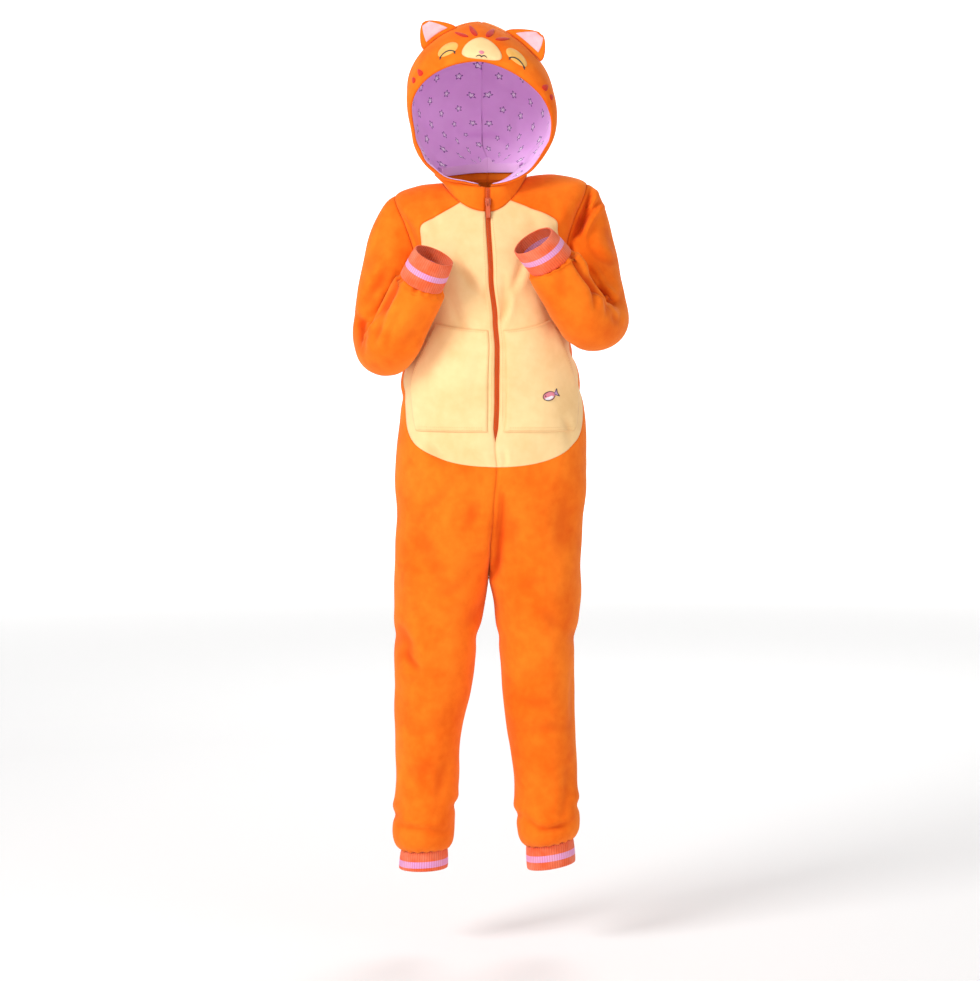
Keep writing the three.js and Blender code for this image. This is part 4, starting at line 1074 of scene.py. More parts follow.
def makeSeamStay():
    # A strip inside that holds the crotch seam where the legs part.
    z = np.linspace(seamStay["top"], seamStay["bottom"], 24)[:, None] * np.ones((1, 6))
    x = centreX(z) + np.linspace(-seamStay["half"], seamStay["half"], 6)[None, :]
    places = points(x, seamStay["y"], z)
    normals = np.broadcast_to(np.array([0, -1.0, 0]), places.shape)
    piece = makeCloth("seam_stay", places, normals, seamStay["thick"], finishes["plush"], "plush",
                      seamDip=0.0)


pocketGape = {"slanted": 3.0, "middle": 0.8}
pocketLift = cloth["seamGap"] + cloth["pocket"]


def pocketStand(side, t, u):
    # How far the pocket stands off the belly.
    first, last = pocketEdges(side, t)
    share = (u - first) / (last - first)
    slanted = ramp(pocketRows["top"], 6.9, t) * (1 - ramp(8.4, 8.9, t))
    return (pocketGape["slanted"] * slanted * ramp(0.72, 1, share)
            + pocketGape["middle"] * np.sin(np.pi * np.clip(share, 0, 1)))


def makePocket(side, surface):
    # A patch pocket that stands off a little along its slanted open edge.
    tRows = spacedRows(surface, pocketRows["top"], pocketRows["bottom"], 0.2, spacing["pocket"])
    piece = bodyPanel(
        f"pocket_panel_{side}", side, tRows, lambda t: pocketEdges(side, t)[0],
        lambda t: pocketEdges(side, t)[1], columns["pocket"], "cream", "cream_plush", [f"pocket_{side}"],
        cloth["pocket"], pocketLift, lambda t, u: pocketStand(side, t, u), seamDip=0.4)


makeBody()


# Leg cuffs
ribs = {"legCount": 60, "sleeveCount": 56, "height": 0.55, "perRib": 6}


def ribbed(turn, count):
    # Rounded ribs: broad tops and narrow valleys, and the weight of the painted shade in the valleys.
    wave = np.cos(turn * count)
    return ribs["height"] * (np.abs((1 + wave) / 2) ** 0.6 - 1), ((1 - wave) / 2) ** 2


def makeLegCuffs():
    for side, cuff in legCuffs.items():
        ankle = {key: values[-1] for key, values in legs[side].items()}
        gap = cloth["seamGap"]

        def surface(t, u):
            t, u = np.broadcast_arrays(np.asarray(t, float), np.asarray(u, float))
            ends = {
                "outerX": cuff["outerX"], "innerX": cuff["innerX"], "frontY": cuff["frontY"],
                "backY": cuff["backY"], "outerZ": ankle["outerZ"] - cuff["drop"] + cuff["tilt"],
                "innerZ": ankle["innerZ"] - cuff["drop"],
            }
            tops = dict(ankle, outerZ=ankle["outerZ"] - gap, innerZ=ankle["innerZ"] - gap)
            at = {key: mix(tops[key], ends[key], t) for key in ends}
            turn = 2 * np.pi * u
            x = (at["outerX"] + at["innerX"]) / 2 - (at["outerX"] - at["innerX"]) / 2 * np.cos(turn)
            y = (at["frontY"] + at["backY"]) / 2 - (at["backY"] - at["frontY"]) / 2 * np.sin(turn)
            return points(sides[side] * x, y, mix(at["innerZ"], at["outerZ"], (1 - np.cos(turn)) / 2))

        count = ribs["legCount"] * ribs["perRib"]
        t = np.linspace(0, 1, 16)[:, None] + np.zeros((1, count))
        u = np.linspace(0, 1, count + 1)[None, :-1] + np.zeros((16, 1))
        places, normals = surface(t, u), normalsOf(surface, t, u, sides[side])
        relief, valleyShade = ribbed(2 * np.pi * u, ribs["legCount"])
        relief = relief + 0.7 * np.sin(2 * np.pi * u * 2 + 1) * t + 0.5 * np.sin(np.pi * t)
        piece = makeCloth(f"leg_cuff_rib_{side}", places, normals, cloth["rib"], finishes["legRib"], "rib",
                          around=True, relief=relief, replaces=[f"leg_cuff_{side}"], seamDip=0.5,
                          valleyShade=valleyShade)
    print("leg cuffs ready")


makeLegCuffs()


# Sleeves
sleeveFolds = {
    "right": (
        folds("front", (-138, -128, -180, -214, 6.5, 8, 8, 0.6), (-146, -158, -208, -220, 5.0, 7, 5, 0.5))
        + folds("front", (-196, -236, -152, -178, 4.0, 7, -6, 0.5), (-180, -252, -150, -196, 3.6, 6, 4, 0.4))
        + folds("front", (-128, -92, -112, -176, 3.8, 14, 6, 0.4), (-164, -256, -132, -190, 3.4, 6, 3, 0.4))
        + folds("front", (-196, -134, -170, -66, 3.4, 16, -6, 0.4), (-200, -176, -158, -120, 4.0, 8, -6, 0.5))
        + folds("front", (-96, -176, -140, -256, 2.8, 12, 6, 0.4), (-204, -196, -196, -262, 3.6, 7, 4, 0.4))
    ),
    "left": (
        folds("front", (157, 2, 124, -86, 13.0, 5, 5, 0.6), (172, -20, 136, -86, 12.0, 5, -5, 0.6))
        + folds("front", (121, -86, 196, -180, 11.0, 5, -16, 0.6), (148, -122, 172, -172, 8.0, 4, 4, 0.5))
        + folds("front", (147, -121, 160, -192, 6.5, 5, 3, 0.6), (164, -140, 180, -204, 5.5, 5, 5, 0.5))
        + folds("front", (134, -120, 148, -204, -3.0, 11, 5, 0.0), (186, -170, 198, -216, 4.0, 6, -3, 0.4))
        + folds("front", (108, -120, 118, -190, 3.2, 12, -4, 0.4), (106, -66, 150, -50, 3.2, 12, 6, 0.4))
        + folds("front", (182, -60, 200, -128, 3.6, 12, 5, 0.4), (150, -88, 196, -120, 4.6, 8, -7, 0.5))
    ),
}
sleeveBackFolds = (
    folds("back", (-150, -60, -190, -150, 4.2, 11, 8, 0.4), (-130, -110, -180, -180, 4.0, 10, 6, 0.4))
    + folds("back", (150, -50, 190, -140, 4.2, 11, -8, 0.4), (130, -100, 180, -165, 4.0, 10, -6, 0.4))
    + folds("right", (-90, -250, -20, -190, 4.2, 8, 6, 0.4), (-110, -220, -40, -170, 3.8, 8, 5, 0.4))
    + folds("left", (-100, -215, -30, -160, 4.2, 8, 6, 0.4), (-118, -190, -50, -140, 3.8, 8, 5, 0.4))
)


def sleeveGrid(side, rRows, count):
    surface = sleeveSurface(side)
    r = rRows[:, None] + np.zeros((1, count))
    turn = np.linspace(0, 2 * np.pi, count + 1)[None, :-1] + np.zeros((len(rRows), 1))
    inside = np.clip(r, 0.002, 1 + cuffEndRow - 0.002)
    return surface(r, turn), normalsOf(surface, inside, turn, -sides[side]), r, turn


sleeveRows = {"first": 0.001, "last": 7.99, "cuffTop": 8.008}
sleeveGather = {"size": 1.4, "reach": 1.5, "waves": 15}
elbowCrook = {"row": 4.0, "reach": 1.1, "deep": 2.2, "waves": 9.0}


def makeSleeves():
    for side in sides:
        surface = sleeveSurface(side)
        top, under = (spacedRows(surface, sleeveRows["first"], sleeveRows["last"], turn, spacing["sleeve"])
                      for turn in (0.0, 3.0))
        rRows = top if len(top) > len(under) else under
        places, normals, r, turn = sleeveGrid(side, rRows, columns["sleeve"])
        relief = foldRelief(places, normals, sleeveFolds[side] + sleeveBackFolds) + handling(places, 0.8)
        near = np.clip(1 - (sleeveRows["last"] - r) / sleeveGather["reach"], 0, 1) ** 2
        gather = sleeveGather["size"] * near * (np.sin(sleeveGather["waves"] * turn + 1.2) - 0.4)
        gather = gather * (1 + 0.4 * np.sin(4 * turn))
        # Wrinkles in the crook of the sleeve, across it
        below = r - elbowCrook["row"]
        crook = np.clip(np.sin(turn), 0, 1) ** 1.5 * np.exp(-((below / elbowCrook["reach"]) ** 2))
        wrinkles = elbowCrook["deep"] * crook * np.cos(below * elbowCrook["waves"])
        relief = (relief - wrinkles) * ramp(0, 0.05, r) + gather
        piece = makeCloth(f"sleeve_panel_{side}", places, normals, cloth["fleece"], finishes["plush"],
                          "plush", around=True, relief=relief, replaces=[f"sleeve_{side}"])
        count = ribs["sleeveCount"] * ribs["perRib"]
        cuffRows = np.linspace(sleeveRows["cuffTop"], 1 + cuffEndRow, 18)
        places, normals, r, turn = sleeveGrid(side, cuffRows, count)
        relief, valleyShade = ribbed(turn, ribs["sleeveCount"])
        relief = relief + 0.6 * np.sin(2 * turn + 0.6) * (r - 8) + 0.8 * np.sin(np.pi * (r - 8))
        piece = makeCloth(f"sleeve_cuff_rib_{side}", places, normals, cloth["rib"], finishes["sleeveRib"],
                          "rib", around=True, relief=relief, replaces=[f"sleeve_cuff_{side}"], seamDip=0.5,
                          valleyShade=valleyShade)
    print("sleeves ready")


makeSleeves()


# Collar and hood
hoodFolds = (
    folds("front", (-116, 26, -92, 66, 2.4, 12, 4, 0.4), (-100, 6, -74, 34, 2.0, 10, 3, 0.4))
    + folds("front", (72, 30, 96, 64, 2.4, 11, -4, 0.4), (60, 14, 84, 30, 2.0, 9, 3, 0.4))
    + folds("back", (-70, 40, -60, 120, 4.6, 11, -6, 0.4), (60, 44, 48, 124, 4.6, 11, 6, 0.4))
    + folds("back", (-60, 70, 40, 62, 4.2, 9, 8, 0.4), (-40, 110, 20, 104, 3.0, 11, 6, 0.4))
    + folds("left", (-50, 40, 20, 70, 4.2, 9, 6, 0.4), (-20, 20, 60, 56, 3.8, 9, 4, 0.4))
    + folds("right", (-50, 40, 20, 70, 4.2, 9, 6, 0.4), (-20, 20, 60, 56, 3.8, 9, 4, 0.4))
)
middleSeam = 0.9988
spill = {"out": 14.0, "from": -35, "to": -68, "low": 30, "high": 92}


def neckSpill(places, normals):
    # The hood falls over its neck seam on its right side.
    aside = ramp(-spill["from"], -spill["to"], -places[..., 0])
    height = 1 - ramp(spill["low"], spill["high"], places[..., 2])
    return spill["out"] * aside * height * np.clip(-normals[..., 0], 0, 1)


def hoodRelief(places, normals, q):
    soft = (foldRelief(places, normals, hoodFolds) + handling(places, 0.7)) * ramp(0, 0.08, q)
    return soft + neckSpill(places, normals)


def makeCollar():
    for side in sides:
        body = bodySurface(side)

        def surface(t, u):
            t, u = np.broadcast_arrays(np.asarray(t, float), np.clip(np.asarray(u, float), 0, 1))
            return mix(body(np.zeros_like(t), u), collarRing(side, u), t[..., None])

        t = np.linspace(0.012, 0.988, 12)[:, None]
        u = np.linspace(0.0185, 1 - cloth["halfSeam"], columns["collar"])[None, :]
        t, u = np.broadcast_arrays(t, u)
        normals = normalsOf(surface, t, np.clip(u, 0.002, 0.998), -sides[side])
        normals[:, [0, -1], 0] = 0
        places = surface(t, u)
        relief = neckSpill(places, unit(normals)) * ramp(0, 0.7, t)
        piece = makeCloth(f"collar_panel_{side}", places, unit(normals), cloth["fleece"], finishes["plush"],
                          "plush", relief=relief, replaces=[f"collar_{side}"])
    print("collar ready")


neckTape = {"start": 0.36, "inside": 6.0, "down": 6.5, "up": 8.0, "napeUp": 10.0, "thick": 0.6}


def makeNeckTape():
    # The seam between the hood and the collar is bound with a tape on the inside.
    for side in sides:
        u = np.linspace(neckTape["start"], 1 - cloth["halfSeam"], 70)
        ring = collarRing(side, u)
        along = unit(np.gradient(ring, axis=0))
        inward = unit(np.cross(along, np.array([0, 0, 1.0])))
        inward = inward * np.where(np.sum(inward * (ring * (-1, -1, 0)), axis=-1) < 0, -1, 1)[:, None]
        tall = np.linspace(-neckTape["down"], neckTape["up"], 9)[:, None] + np.zeros((1, len(u)))
        tall = tall + np.where(tall > 0, neckTape["napeUp"] * ramp(0.93, 1, u), 0)
        places = ring + inward * neckTape["inside"] + tall[..., None] * np.array([0, 0, 1.0])
        normals = np.broadcast_to(inward, places.shape)
        piece = makeCloth(f"neck_tape_{side}", places, normals, neckTape["thick"], finishes["lining"],
                          "lining", seamDip=0.2, relief=-neckSpill(places, -normals))
    print("neck tape ready")


hoodRows = {"face": (0, 2.99), "back": (3.01, 8.97), "lining": (0.3, 8.92)}
# The opening's hem is turned in and stitched down: a groove at the stitches, and the fold before it
hoodHem = {
    "groove": {"row": 0.42, "reach": 0.09, "deep": 0.7}, "fold": {"row": 0.2, "reach": 0.18, "high": 0.5},
}


def hoodHalf(side, part):
    rowsDown = spacedRows(hoodSurface(side), *hoodRows[part], 0.8, spacing["hood"])
    v, q = np.broadcast_arrays(rowsDown[:, None], np.linspace(0, middleSeam, columns["hood"])[None, :])
    places, normals = hoodPlaces(side, v, q)
    return v, q, places, normals


def makeHood():
    for side in sides:
        v, q, places, normals = hoodHalf(side, "back")
        relief = hoodRelief(places, normals, q) * ramp(0, 0.02, 1 - q)
        piece = makeCloth(f"hood_back_panel_{side}", places, normals, cloth["hoodFleece"], finishes["plush"],
                          "plush", relief=relief, replaces=[f"hood_back_{side}"])
        v, q, places, normals = hoodHalf(side, "lining")
        loose = (handling(places * 1.7, 0.9) - 1.6) * ramp(0.3, 1.2, v) * ramp(0, 0.1, q)
        relief = (hoodRelief(places, normals, q) + loose) * ramp(0, 0.02, 1 - q)
        under = -cloth["hoodFleece"] - cloth["liningGap"]
        piece = makeCloth(f"hood_lining_panel_{side}", places, normals, cloth["lining"], finishes["lining"],
                          "lining", lift=under, relief=relief, replaces=[f"hood_lining_{side}"], seamDip=0.2)
    v = spacedRows(hoodSurface("left"), *hoodRows["face"], 0.9, spacing["face"])[:, None]
    half = 1 - np.linspace(0, 1, columns["face"])
    v, m = np.broadcast_arrays(v, np.concatenate([-half, half[::-1][1:]])[None, :])
    places, normals = facePlaces(v, m)
    relief = hoodRelief(places, normals, 1 - np.abs(m))
    groove, fold = hoodHem["groove"], hoodHem["fold"]
    relief = relief - groove["deep"] * np.exp(-(((v - groove["row"]) / groove["reach"]) ** 2))
    relief = relief + fold["high"] * np.exp(-(((v - fold["row"]) / fold["reach"]) ** 2))
    piece = makeCloth("hood_face_panel", places, normals, cloth["hoodFleece"], finishes["plush"], "plush",
                      relief=relief, replaces=["hood_face"])
    print("hood ready")


makeCollar()
makeNeckTape()
makeHood()


# Ears: padded triangles in the seam behind the face, each with a pink inside
def earGrid(side, across, up):
    surface = hoodSurface(side)
    arch, seamRow = ear["arch"][side], np.array(float(earSeamRow))
    alongSeam = unit(surface(seamRow, np.array(arch + 0.02)) - surface(seamRow, np.array(arch - 0.02)))
    outward = normalsOf(surface, seamRow, np.array(arch), sides[side])
    outward = unit(outward + np.array([0, ear["back"][side], ear["upright"][side]]))
    forward = unit(np.cross(alongSeam, outward))
    forward = forward * (-1 if forward[1] > 0 else 1)
    place = np.broadcast_to(up[:, None], (len(up), len(across)))
    a = np.broadcast_to(across[None, :], place.shape)
    rise, width, thick = (column(earShape, key, place) for key in ("rise", "width", "thick"))
    foot = surface(np.full(a.shape, float(earSeamRow)), arch + a * width * ear["halfBase"])
    spots = foot + outward * (ear["lift"][side] + ear["height"] * rise)[..., None]
    spots = spots + forward * (2.5 * a * a - ear["halfThickness"] * 0.2)[..., None]
    return spots, np.broadcast_to(forward, spots.shape), a, rise, thick


def makeEars():
    for side in sides:
        across, up = np.linspace(-1, 1, 34), np.linspace(0, 5, 34)
        spots, forward, a, rise, thick = earGrid(side, across, up)
        # Full in the middle, thin at the sewn edge, hollowed a little in front
        plump = ear["halfThickness"] * thick * (1 - np.abs(a) ** 3.2) ** 0.6 + 0.5
        hollow = 2.6 * np.exp(-((a / 0.62) ** 2)) * np.clip(1 - rise, 0, 1) ** 0.5
        outer = spots + forward * (plump - hollow)[..., None]
        behind = spots - forward * (plump + 0.4)[..., None]
        piece = makePad(f"ear_pad_{side}", outer, behind, finishes["plush"], "plush", [f"ear_{side}"])
        inner = slice(6, 27), slice(6, 28)
        faces = outer[inner]
        felt = makeCloth(f"ear_felt_{side}", faces, forward[inner], cloth["felt"], finishes["pinkFelt"],
                         "pink_felt", lift=cloth["felt"] + 0.15, replaces=[f"ear_inner_{side}"], seamDip=0.5)
    print("ears ready")


def makePad(name, front, back, finish, slotName, replaces):
    # Two layers sewn together round their edge.
    rowCount, columnCount = front.shape[:2]
    count = rowCount * columnCount
    index = np.arange(count).reshape(rowCount, columnCount)
    quads = twoLayers(index, count)
    rims = np.array([index[i, j] for i, j in borderOf(rowCount, columnCount)])
    after = np.roll(rims, -1)
    quads.append(np.stack([rims, after, after + count, rims + count], -1))
    nearest, _, _ = edgeDistance(front, False)
    seam = np.concatenate([nearest.reshape(-1), nearest.reshape(-1)]) * metre
    vertices = np.concatenate([front.reshape(-1, 3), back.reshape(-1, 3)])
    return buildPiece(name, vertices, np.concatenate(quads), finish, slotName, replaces, {"seam": seam})


makeEars()


# The face on the hood: a sleeping cat's, in felt and thread
def discGrid(count):
    a, b = np.meshgrid(np.linspace(-1, 1, count), np.linspace(-1, 1, count), indexing="ij")
    return a * np.sqrt(1 - b * b / 2), b * np.sqrt(1 - a * a / 2)


def faceRelief(v, m):
    places, normals = facePlaces(v, m)
    return places, normals, hoodRelief(places, normals, 1 - np.abs(m))


def facePatch(name, v, m, finish, lift, thickness, puff, disc, slotName=None, replaces=()):
    # A patch that is fuller by puff in the middle of its disc.
    places, normals, relief = faceRelief(v, m)
    relief = relief + puff * np.clip(1 - disc, 0, 1)
    return makeCloth(name, places, normals, thickness, finishes[finish], slotName, lift=lift + thickness,
                     relief=relief, replaces=replaces)


face = {
    "eye": {"v": 1.55, "m": 0.19, "reachV": 0.36, "reachM": 0.052, "lidM": 0.042, "lidV": 0.32, "bow": 0.2,
            "lidThread": 1.3, "lashThread": 0.7, "lashes": (-0.75, 0.0, 0.75), "lashV": 0.2, "lashM": 0.012},
    "nose": {"v": 0.98, "reachV": 0.13, "reachM": 0.02},
    "mouth": {"v": 0.66, "reachV": 0.12, "reachM": 0.04, "thread": 0.8},
    # Felt bars of the coat: place and half length in rows and shares, half width, slant, and the cut's
    # width, length and area in metres
    "bars": (
        {"v": 2.35, "m": 0.06, "long": 0.4, "wide": 0.014, "slant": 0.02, "cut": (0.012, 0.034, 0.00032)},
        {"v": 2.25, "m": 0.125, "long": 0.3, "wide": 0.012, "slant": 0.035, "cut": (0.011, 0.026, 0.0002)},
        {"v": 1.35, "m": 0.36, "long": 0.42, "wide": 0.012, "slant": 0.02, "cut": (0.01, 0.017, 0.00012)},
        {"v": 1.5, "m": 0.42, "long": 0.36, "wide": 0.011, "slant": 0.015, "cut": (0.01, 0.012, 0.00008)},
    ),
}


def threadLine(name, v, m, radius):
    # A raised line of satin stitches on the hood.
    places, normals, relief = faceRelief(v, m)
    tubeOn(name, places + normals * (relief + 0.5 * radius)[..., None], normals, radius, "darkThread")


sidesCount = 8


def tubeOn(name, line, normals, radius, finish):
    along = unit(np.gradient(line, axis=0))
    beside = unit(np.cross(normals, along))
    turn = np.linspace(0, 2 * np.pi, sidesCount + 1)[:-1]
    taper = np.clip(np.sin(np.linspace(0, np.pi, len(line))), 0.02, 1) ** 0.35 * radius
    # Thread lies a little wider than it is high
    ring = (beside[:, None] * np.cos(turn)[None, :, None] * 1.2
            + normals[:, None] * np.sin(turn)[None, :, None])
    vertices = line[:, None] + ring * taper[:, None, None]
    index = np.arange(vertices.shape[0] * sidesCount).reshape(-1, sidesCount)
    after = np.roll(index, -1, axis=1)
    quads = np.stack([index[:-1], after[:-1], after[1:], index[1:]], -1).reshape(-1, 4)
    ends = np.array([line[0], line[-1]])
    first, last = vertices.shape[0] * sidesCount, vertices.shape[0] * sidesCount + 1
    fans = [[first, after[0, i], index[0, i]] for i in range(sidesCount)]
    fans += [[last, index[-1, i], after[-1, i]] for i in range(sidesCount)]
    vertices = np.concatenate([vertices.reshape(-1, 3), ends])
    return buildTrim(name, vertices, quads.tolist() + fans, finishes[finish])


def makeFace():
    a, b = discGrid(30)
    disc = np.clip(np.hypot(a, b), 0, 1) ** 2
    v = muzzle["v"] + muzzle["reachV"] * a
    m = muzzle["reachM"] * b
    patch = facePatch("muzzle_felt", v, m, "cream", cloth["seamGap"], cloth["felt"], muzzle["puff"], disc,
                      "cream_plush", ["muzzle"])
    eye = face["eye"]
    for side, sign in sides.items():
        a, b = discGrid(18)
        v = eye["v"] + eye["reachV"] * a
        m = sign * (eye["m"] + eye["reachM"] * b)
        patch = facePatch(f"eye_felt_{side}", v, m, "amberFelt", 0.2, 0.8, 0.4, np.hypot(a, b) ** 2)
        share = np.linspace(-1, 1, 40)
        lid = eye["v"] - eye["lidV"] + eye["bow"] * (1 - share**2)
        threadLine(f"eye_lid_{side}", lid, sign * (eye["m"] + eye["lidM"] * share), eye["lidThread"])
        for number, place in enumerate(eye["lashes"]):
            reach = np.linspace(0, 1, 12)
            v = eye["v"] - eye["lidV"] + eye["bow"] * (1 - place**2) - eye["lashV"] * reach
            m = sign * (eye["m"] + eye["lidM"] * place + eye["lashM"] * place * reach)
            threadLine(f"eye_lash_{side}_{number}", v, m, eye["lashThread"])
        for number, bar in enumerate(face["bars"]):
            a, b = discGrid(16)
            v = bar["v"] + bar["long"] * a
            m = sign * (bar["m"] + bar["slant"] * a + bar["wide"] * b * (1.1 - 0.5 * a))
            disc = np.hypot(a, b) ** 2
            patch = facePatch(f"coat_bar_{side}_{number}", v, m, "redFelt", 0.15, 0.9, 0.4, disc)
            width, length, area = bar["cut"]
    nose = face["nose"]
    a, b = discGrid(14)
    v = nose["v"] + nose["reachV"] * a
    m = nose["reachM"] * b * (1 + 0.35 * a)
    facePatch("nose_stitching", v, m, "roseThread", cloth["felt"] + muzzle["puff"], 0.9, 0.5,
              np.hypot(a, b) ** 2)
    mouth = face["mouth"]
    share = np.linspace(-1, 1, 60)
    v = mouth["v"] + mouth["reachV"] * np.abs(np.sin(np.pi * share))
    places, normals, relief = faceRelief(v, mouth["reachM"] * share)
    line = places + normals * (relief + cloth["felt"] + muzzle["puff"] + 0.1)[..., None]
    tubeOn("mouth_stitching", line, normals, mouth["thread"], "darkThread")
    print("face ready")


makeFace()


# Zip: tapes behind the belly's edges, two rows of interlocked coil, slider and pull
zipParts = {
    "tape": 0.8, "halfTape": 6.0, "halfEnd": 2.0, "narrowFrom": 9.0, "narrowOver": 0.8,
    "top": -0.97, "end": 9.8,
}
tooth = {
    "pitch": 1.35, "size": (3.0, 1.5, 1.107), "bevel": 0.28, "depth": 1.2, "stagger": 1.1,
    "above": 2, "below": 6,
}


def frontLine(t):
    # The centre front with its outward direction; below 0 it climbs the collar.
    low = np.maximum(t, 0)
    z, y = column(torso, "frontZ", low), column(torso, "frontY", low)
    line = points(centreX(z), y, z)
    topZ = np.array(float(collarTop["frontZ"]))
    top = points(centreX(topZ), collarTop["frontY"], topZ)
    line = np.where((t < 0)[..., None], mix(line, top, np.clip(-t, 0, 1)[..., None]), line)
    along = unit(np.gradient(line, axis=0))
    outward = np.cross(along, np.array([1.0, 0, 0]))
    outward = outward * np.where(outward[..., 1:2] > 0, -1, 1)
    outward[..., 0] = 0
    return line, unit(outward), along


def makeZip():
    fine = np.linspace(zipParts["top"], zipParts["end"], 900)
    line, outward, along = frontLine(fine)
    # The woven tape, seen on both sides of the coil
    t, spots, lift = fine[::8], line[::8], outward[::8]
    past = (t - zipParts["narrowFrom"]) / zipParts["narrowOver"]
    half = np.where(past < 0, zipParts["halfTape"], mix(zipParts["halfTape"], zipParts["halfEnd"], past))
    share = np.linspace(-1, 1, 9)
    grid = spots[:, None] + np.array([1.0, 0, 0]) * (half[:, None] * share)[..., None]
    tape = makeCloth("zip_tapes", grid, np.broadcast_to(lift[:, None], grid.shape), zipParts["tape"],
                     finishes["zipTape"], "zip_tape", lift=-2.0, replaces=["zip"], seamDip=0.0)
    # One tooth, then a row of copies on each side
    bpy.ops.object.select_all(action="DESELECT")
    bpy.ops.mesh.primitive_cube_add(size=1)
    bevel = bpy.context.object.modifiers.new("round", "BEVEL")
    bevel.width, bevel.segments = tooth["bevel"], 1
    bpy.ops.object.modifier_apply(modifier="round")
    shape, faces = takeShape(bpy.context.object)
    stops = np.arange(tooth["above"], lengthAlong(line)[-1] - tooth["below"], tooth["pitch"])

    def axesAt(number, spot, out, way):
        aside = np.array([1.0, 0, 0]) * (1 if number % 2 else -1) * tooth["stagger"]
        return spot - out * tooth["depth"] + aside, np.array([[1.0, 0, 0], -out, way])

    vertices, polygons = copyAlong(line, outward, along, stops, shape * tooth["size"], faces, axesAt)
    teeth = buildTrim("zip_teeth", vertices, polygons, finishes["zipTeeth"], smooth=False)
    for node in ("zip_slider", "zip_pull"):
        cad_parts[node].data.materials.clear()
        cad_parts[node].data.materials.append(finishes["lacquer"])
    print("zip ready:", len(stops), "teeth")


makeZip()


# A small fish embroidered on the pocket
motif = {
    "t": 8.6, "u": 0.18, "turn": 0.3, "half": 10.5, "high": 6.5, "tail": 7.5, "thick": 0.7, "thread": 0.5,
}


def motifSpot(across, up):
    # Places on the pocket, in millimetres from the motif's middle.
    turn, t, u = motif["turn"], motif["t"], motif["u"]
    surface = bodySurface("left")
    rowLength = np.linalg.norm(surface(t + 0.1, u) - surface(t - 0.1, u)) / 0.2
    girth = np.linalg.norm(surface(t, u + 0.01) - surface(t, u - 0.01)) / 0.02
    t = t - (across * np.sin(turn) + up * np.cos(turn)) / rowLength
    u = u + (across * np.cos(turn) - up * np.sin(turn)) / girth
    places, normals = bodyPlaces("left", t, u)
    height = bodyRelief("left", t, u, places, normals) + pocketStand("left", t, u)
    return places, normals, height + pocketLift


def motifPatch(name, across, up, finish, lift):
    places, normals, height = motifSpot(across, up)
    makeCloth(name, places, normals, motif["thick"], finishes[finish], None, lift=lift, relief=height)


def motifLine(name, across, up, lift=0.8):
    places, normals, height = motifSpot(across, up)
    tubeOn(name, places + normals * (height + lift)[..., None], normals, motif["thread"], "darkThread")


def makeMotif():
    half, high, tail = motif["half"], motif["high"], motif["tail"]
    a, b = discGrid(20)
    motifPatch("motif_body", a * half, b * high, "roseThread", 0.7)
    motifPatch("motif_belly", a * half * 0.7 - 1, b * high * 0.42 - high * 0.4, "whiteThread", 1.0)
    motifPatch("motif_eye", a - half * 0.55, b + high * 0.25, "darkThread", 1.2)
    sweep, spread = np.meshgrid(np.linspace(0, 1, 10), np.linspace(-1, 1, 12), indexing="ij")
    motifPatch("motif_tail", half - 1 + tail * sweep, spread * (1.2 + 4.6 * sweep), "lilacThread", 0.7)
    rise = high * (0.2 + 0.35 * sweep) + spread
    motifPatch("motif_fin", 1 + 3.4 * sweep + spread, rise, "lilacThread", 1.0)
    ring = np.linspace(0, 2 * np.pi, 60)
    motifLine("motif_outline", half * np.cos(ring), high * np.sin(ring))
    stops = np.linspace(0, 1, 40)
    across = np.interp(stops, (0, 0.35, 0.5, 0.65, 1), (half - 0.5, half + 7, half + 5, half + 7, half - 0.5))
    up = np.interp(stops, (0, 0.35, 0.5, 0.65, 1), (1, 6.2, 0, -6.2, -1))
    motifLine("motif_tail_outline", across, up)
    print("motif ready")


makeMotif()


# Sewing: rows of single stitches, one shape copied along each line
stitch = {"length": 2.6, "gap": 1.2, "wide": 0.924, "high": 0.672, "lift": 0.25}
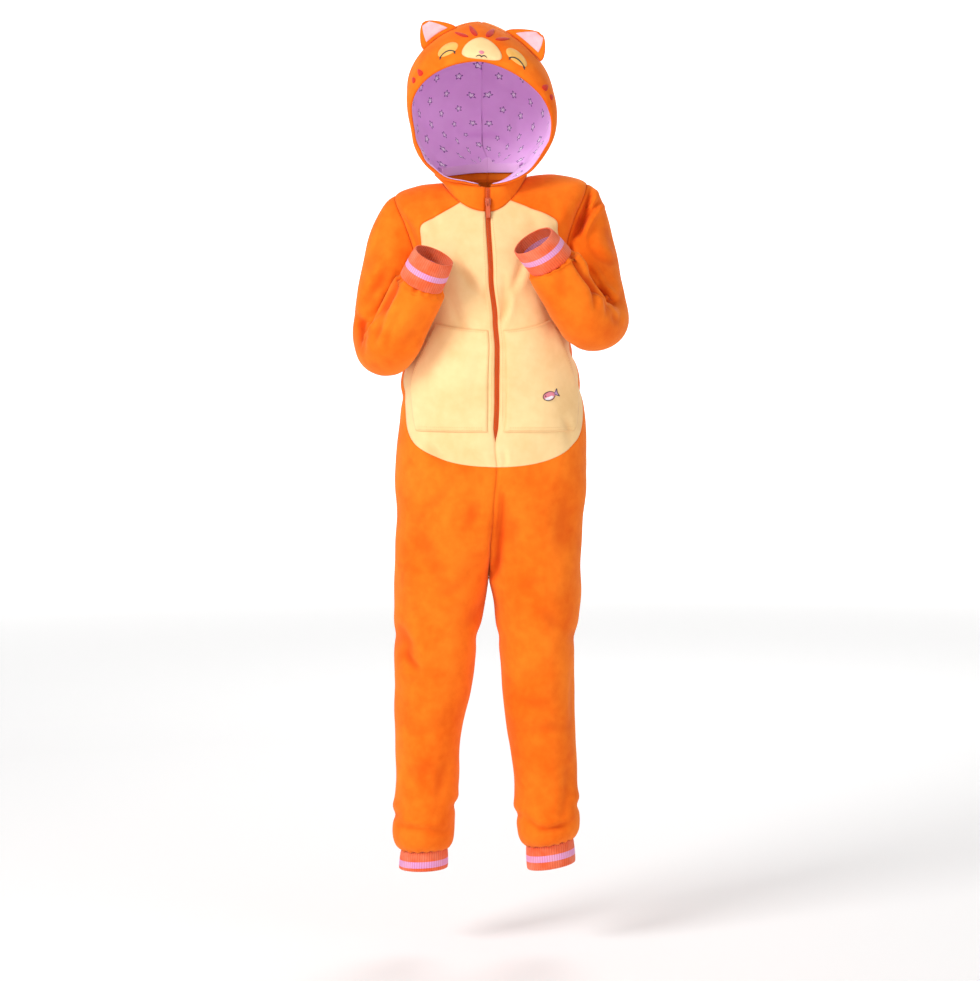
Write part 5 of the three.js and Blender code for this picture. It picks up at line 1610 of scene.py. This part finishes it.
# Rows of stitches: how far in from an edge in millimetres, and where they run by row or share
sewing = {
    "insets": (2.6, 6.5), "rowLength": 60, "foot": (0.04, 0.95), "edgeRows": (6.45, 8.1), "topInset": 0.08,
    "top": (0.05, 0.93), "zipInset": 3.2, "zipRows": (0.4, 9.3),
}


def stitchRow(name, line, normals):
    bpy.ops.object.select_all(action="DESELECT")
    bpy.ops.mesh.primitive_uv_sphere_add(segments=6, ring_count=4, radius=0.5)
    shape, faces = takeShape(bpy.context.object)
    shape = shape * (stitch["wide"], stitch["high"], stitch["length"])
    along = unit(np.gradient(line, axis=0))
    last = lengthAlong(line)[-1] - stitch["length"]
    stops = np.arange(stitch["length"], last, stitch["length"] + stitch["gap"])

    def axesAt(number, spot, out, way):
        return spot + out * stitch["lift"], np.array([unit(np.cross(out, way)), out, way])

    vertices, polygons = copyAlong(line, normals, along, stops, shape, faces, axesAt)
    buildTrim(name, vertices, polygons, finishes["creamThread"])


def bodyStitches(name, side, t, u, onPocket=True):
    places, normals = bodyPlaces(side, t, u)
    relief = bodyRelief(side, t, u, places, normals)
    if onPocket:
        relief = relief + pocketStand(side, t, u) + pocketLift
    stitchRow(name, places + normals * relief[..., None], normals)


def makeStitching():
    for side in sides:
        for number, inset in enumerate(sewing["insets"]):
            # The pocket's foot and its slanted open edge are sewn twice, and its top once
            t = np.full(60, pocketRows["bottom"] - inset / sewing["rowLength"])
            first, last = pocketEdges(side, t)
            u = mix(first, last, np.linspace(*sewing["foot"], 60))
            bodyStitches(f"pocket_foot_{side}_{number}", side, t, u)
            t = np.linspace(*sewing["edgeRows"], 60)
            u = pocketEdges(side, t)[1] - inset / girth
            bodyStitches(f"pocket_edge_{side}_{number}", side, t, u)
        t = np.full(40, pocketRows["top"] + sewing["topInset"])
        first, last = pocketEdges(side, t)
        bodyStitches(f"pocket_top_{side}", side, t, mix(first, last, np.linspace(*sewing["top"], 40)))
        t = np.linspace(*sewing["zipRows"], 260)
        bodyStitches(f"zip_edge_{side}", side, t, zipEdge(side, t) + sewing["zipInset"] / girth, False)
    print("stitching ready")


makeStitching()
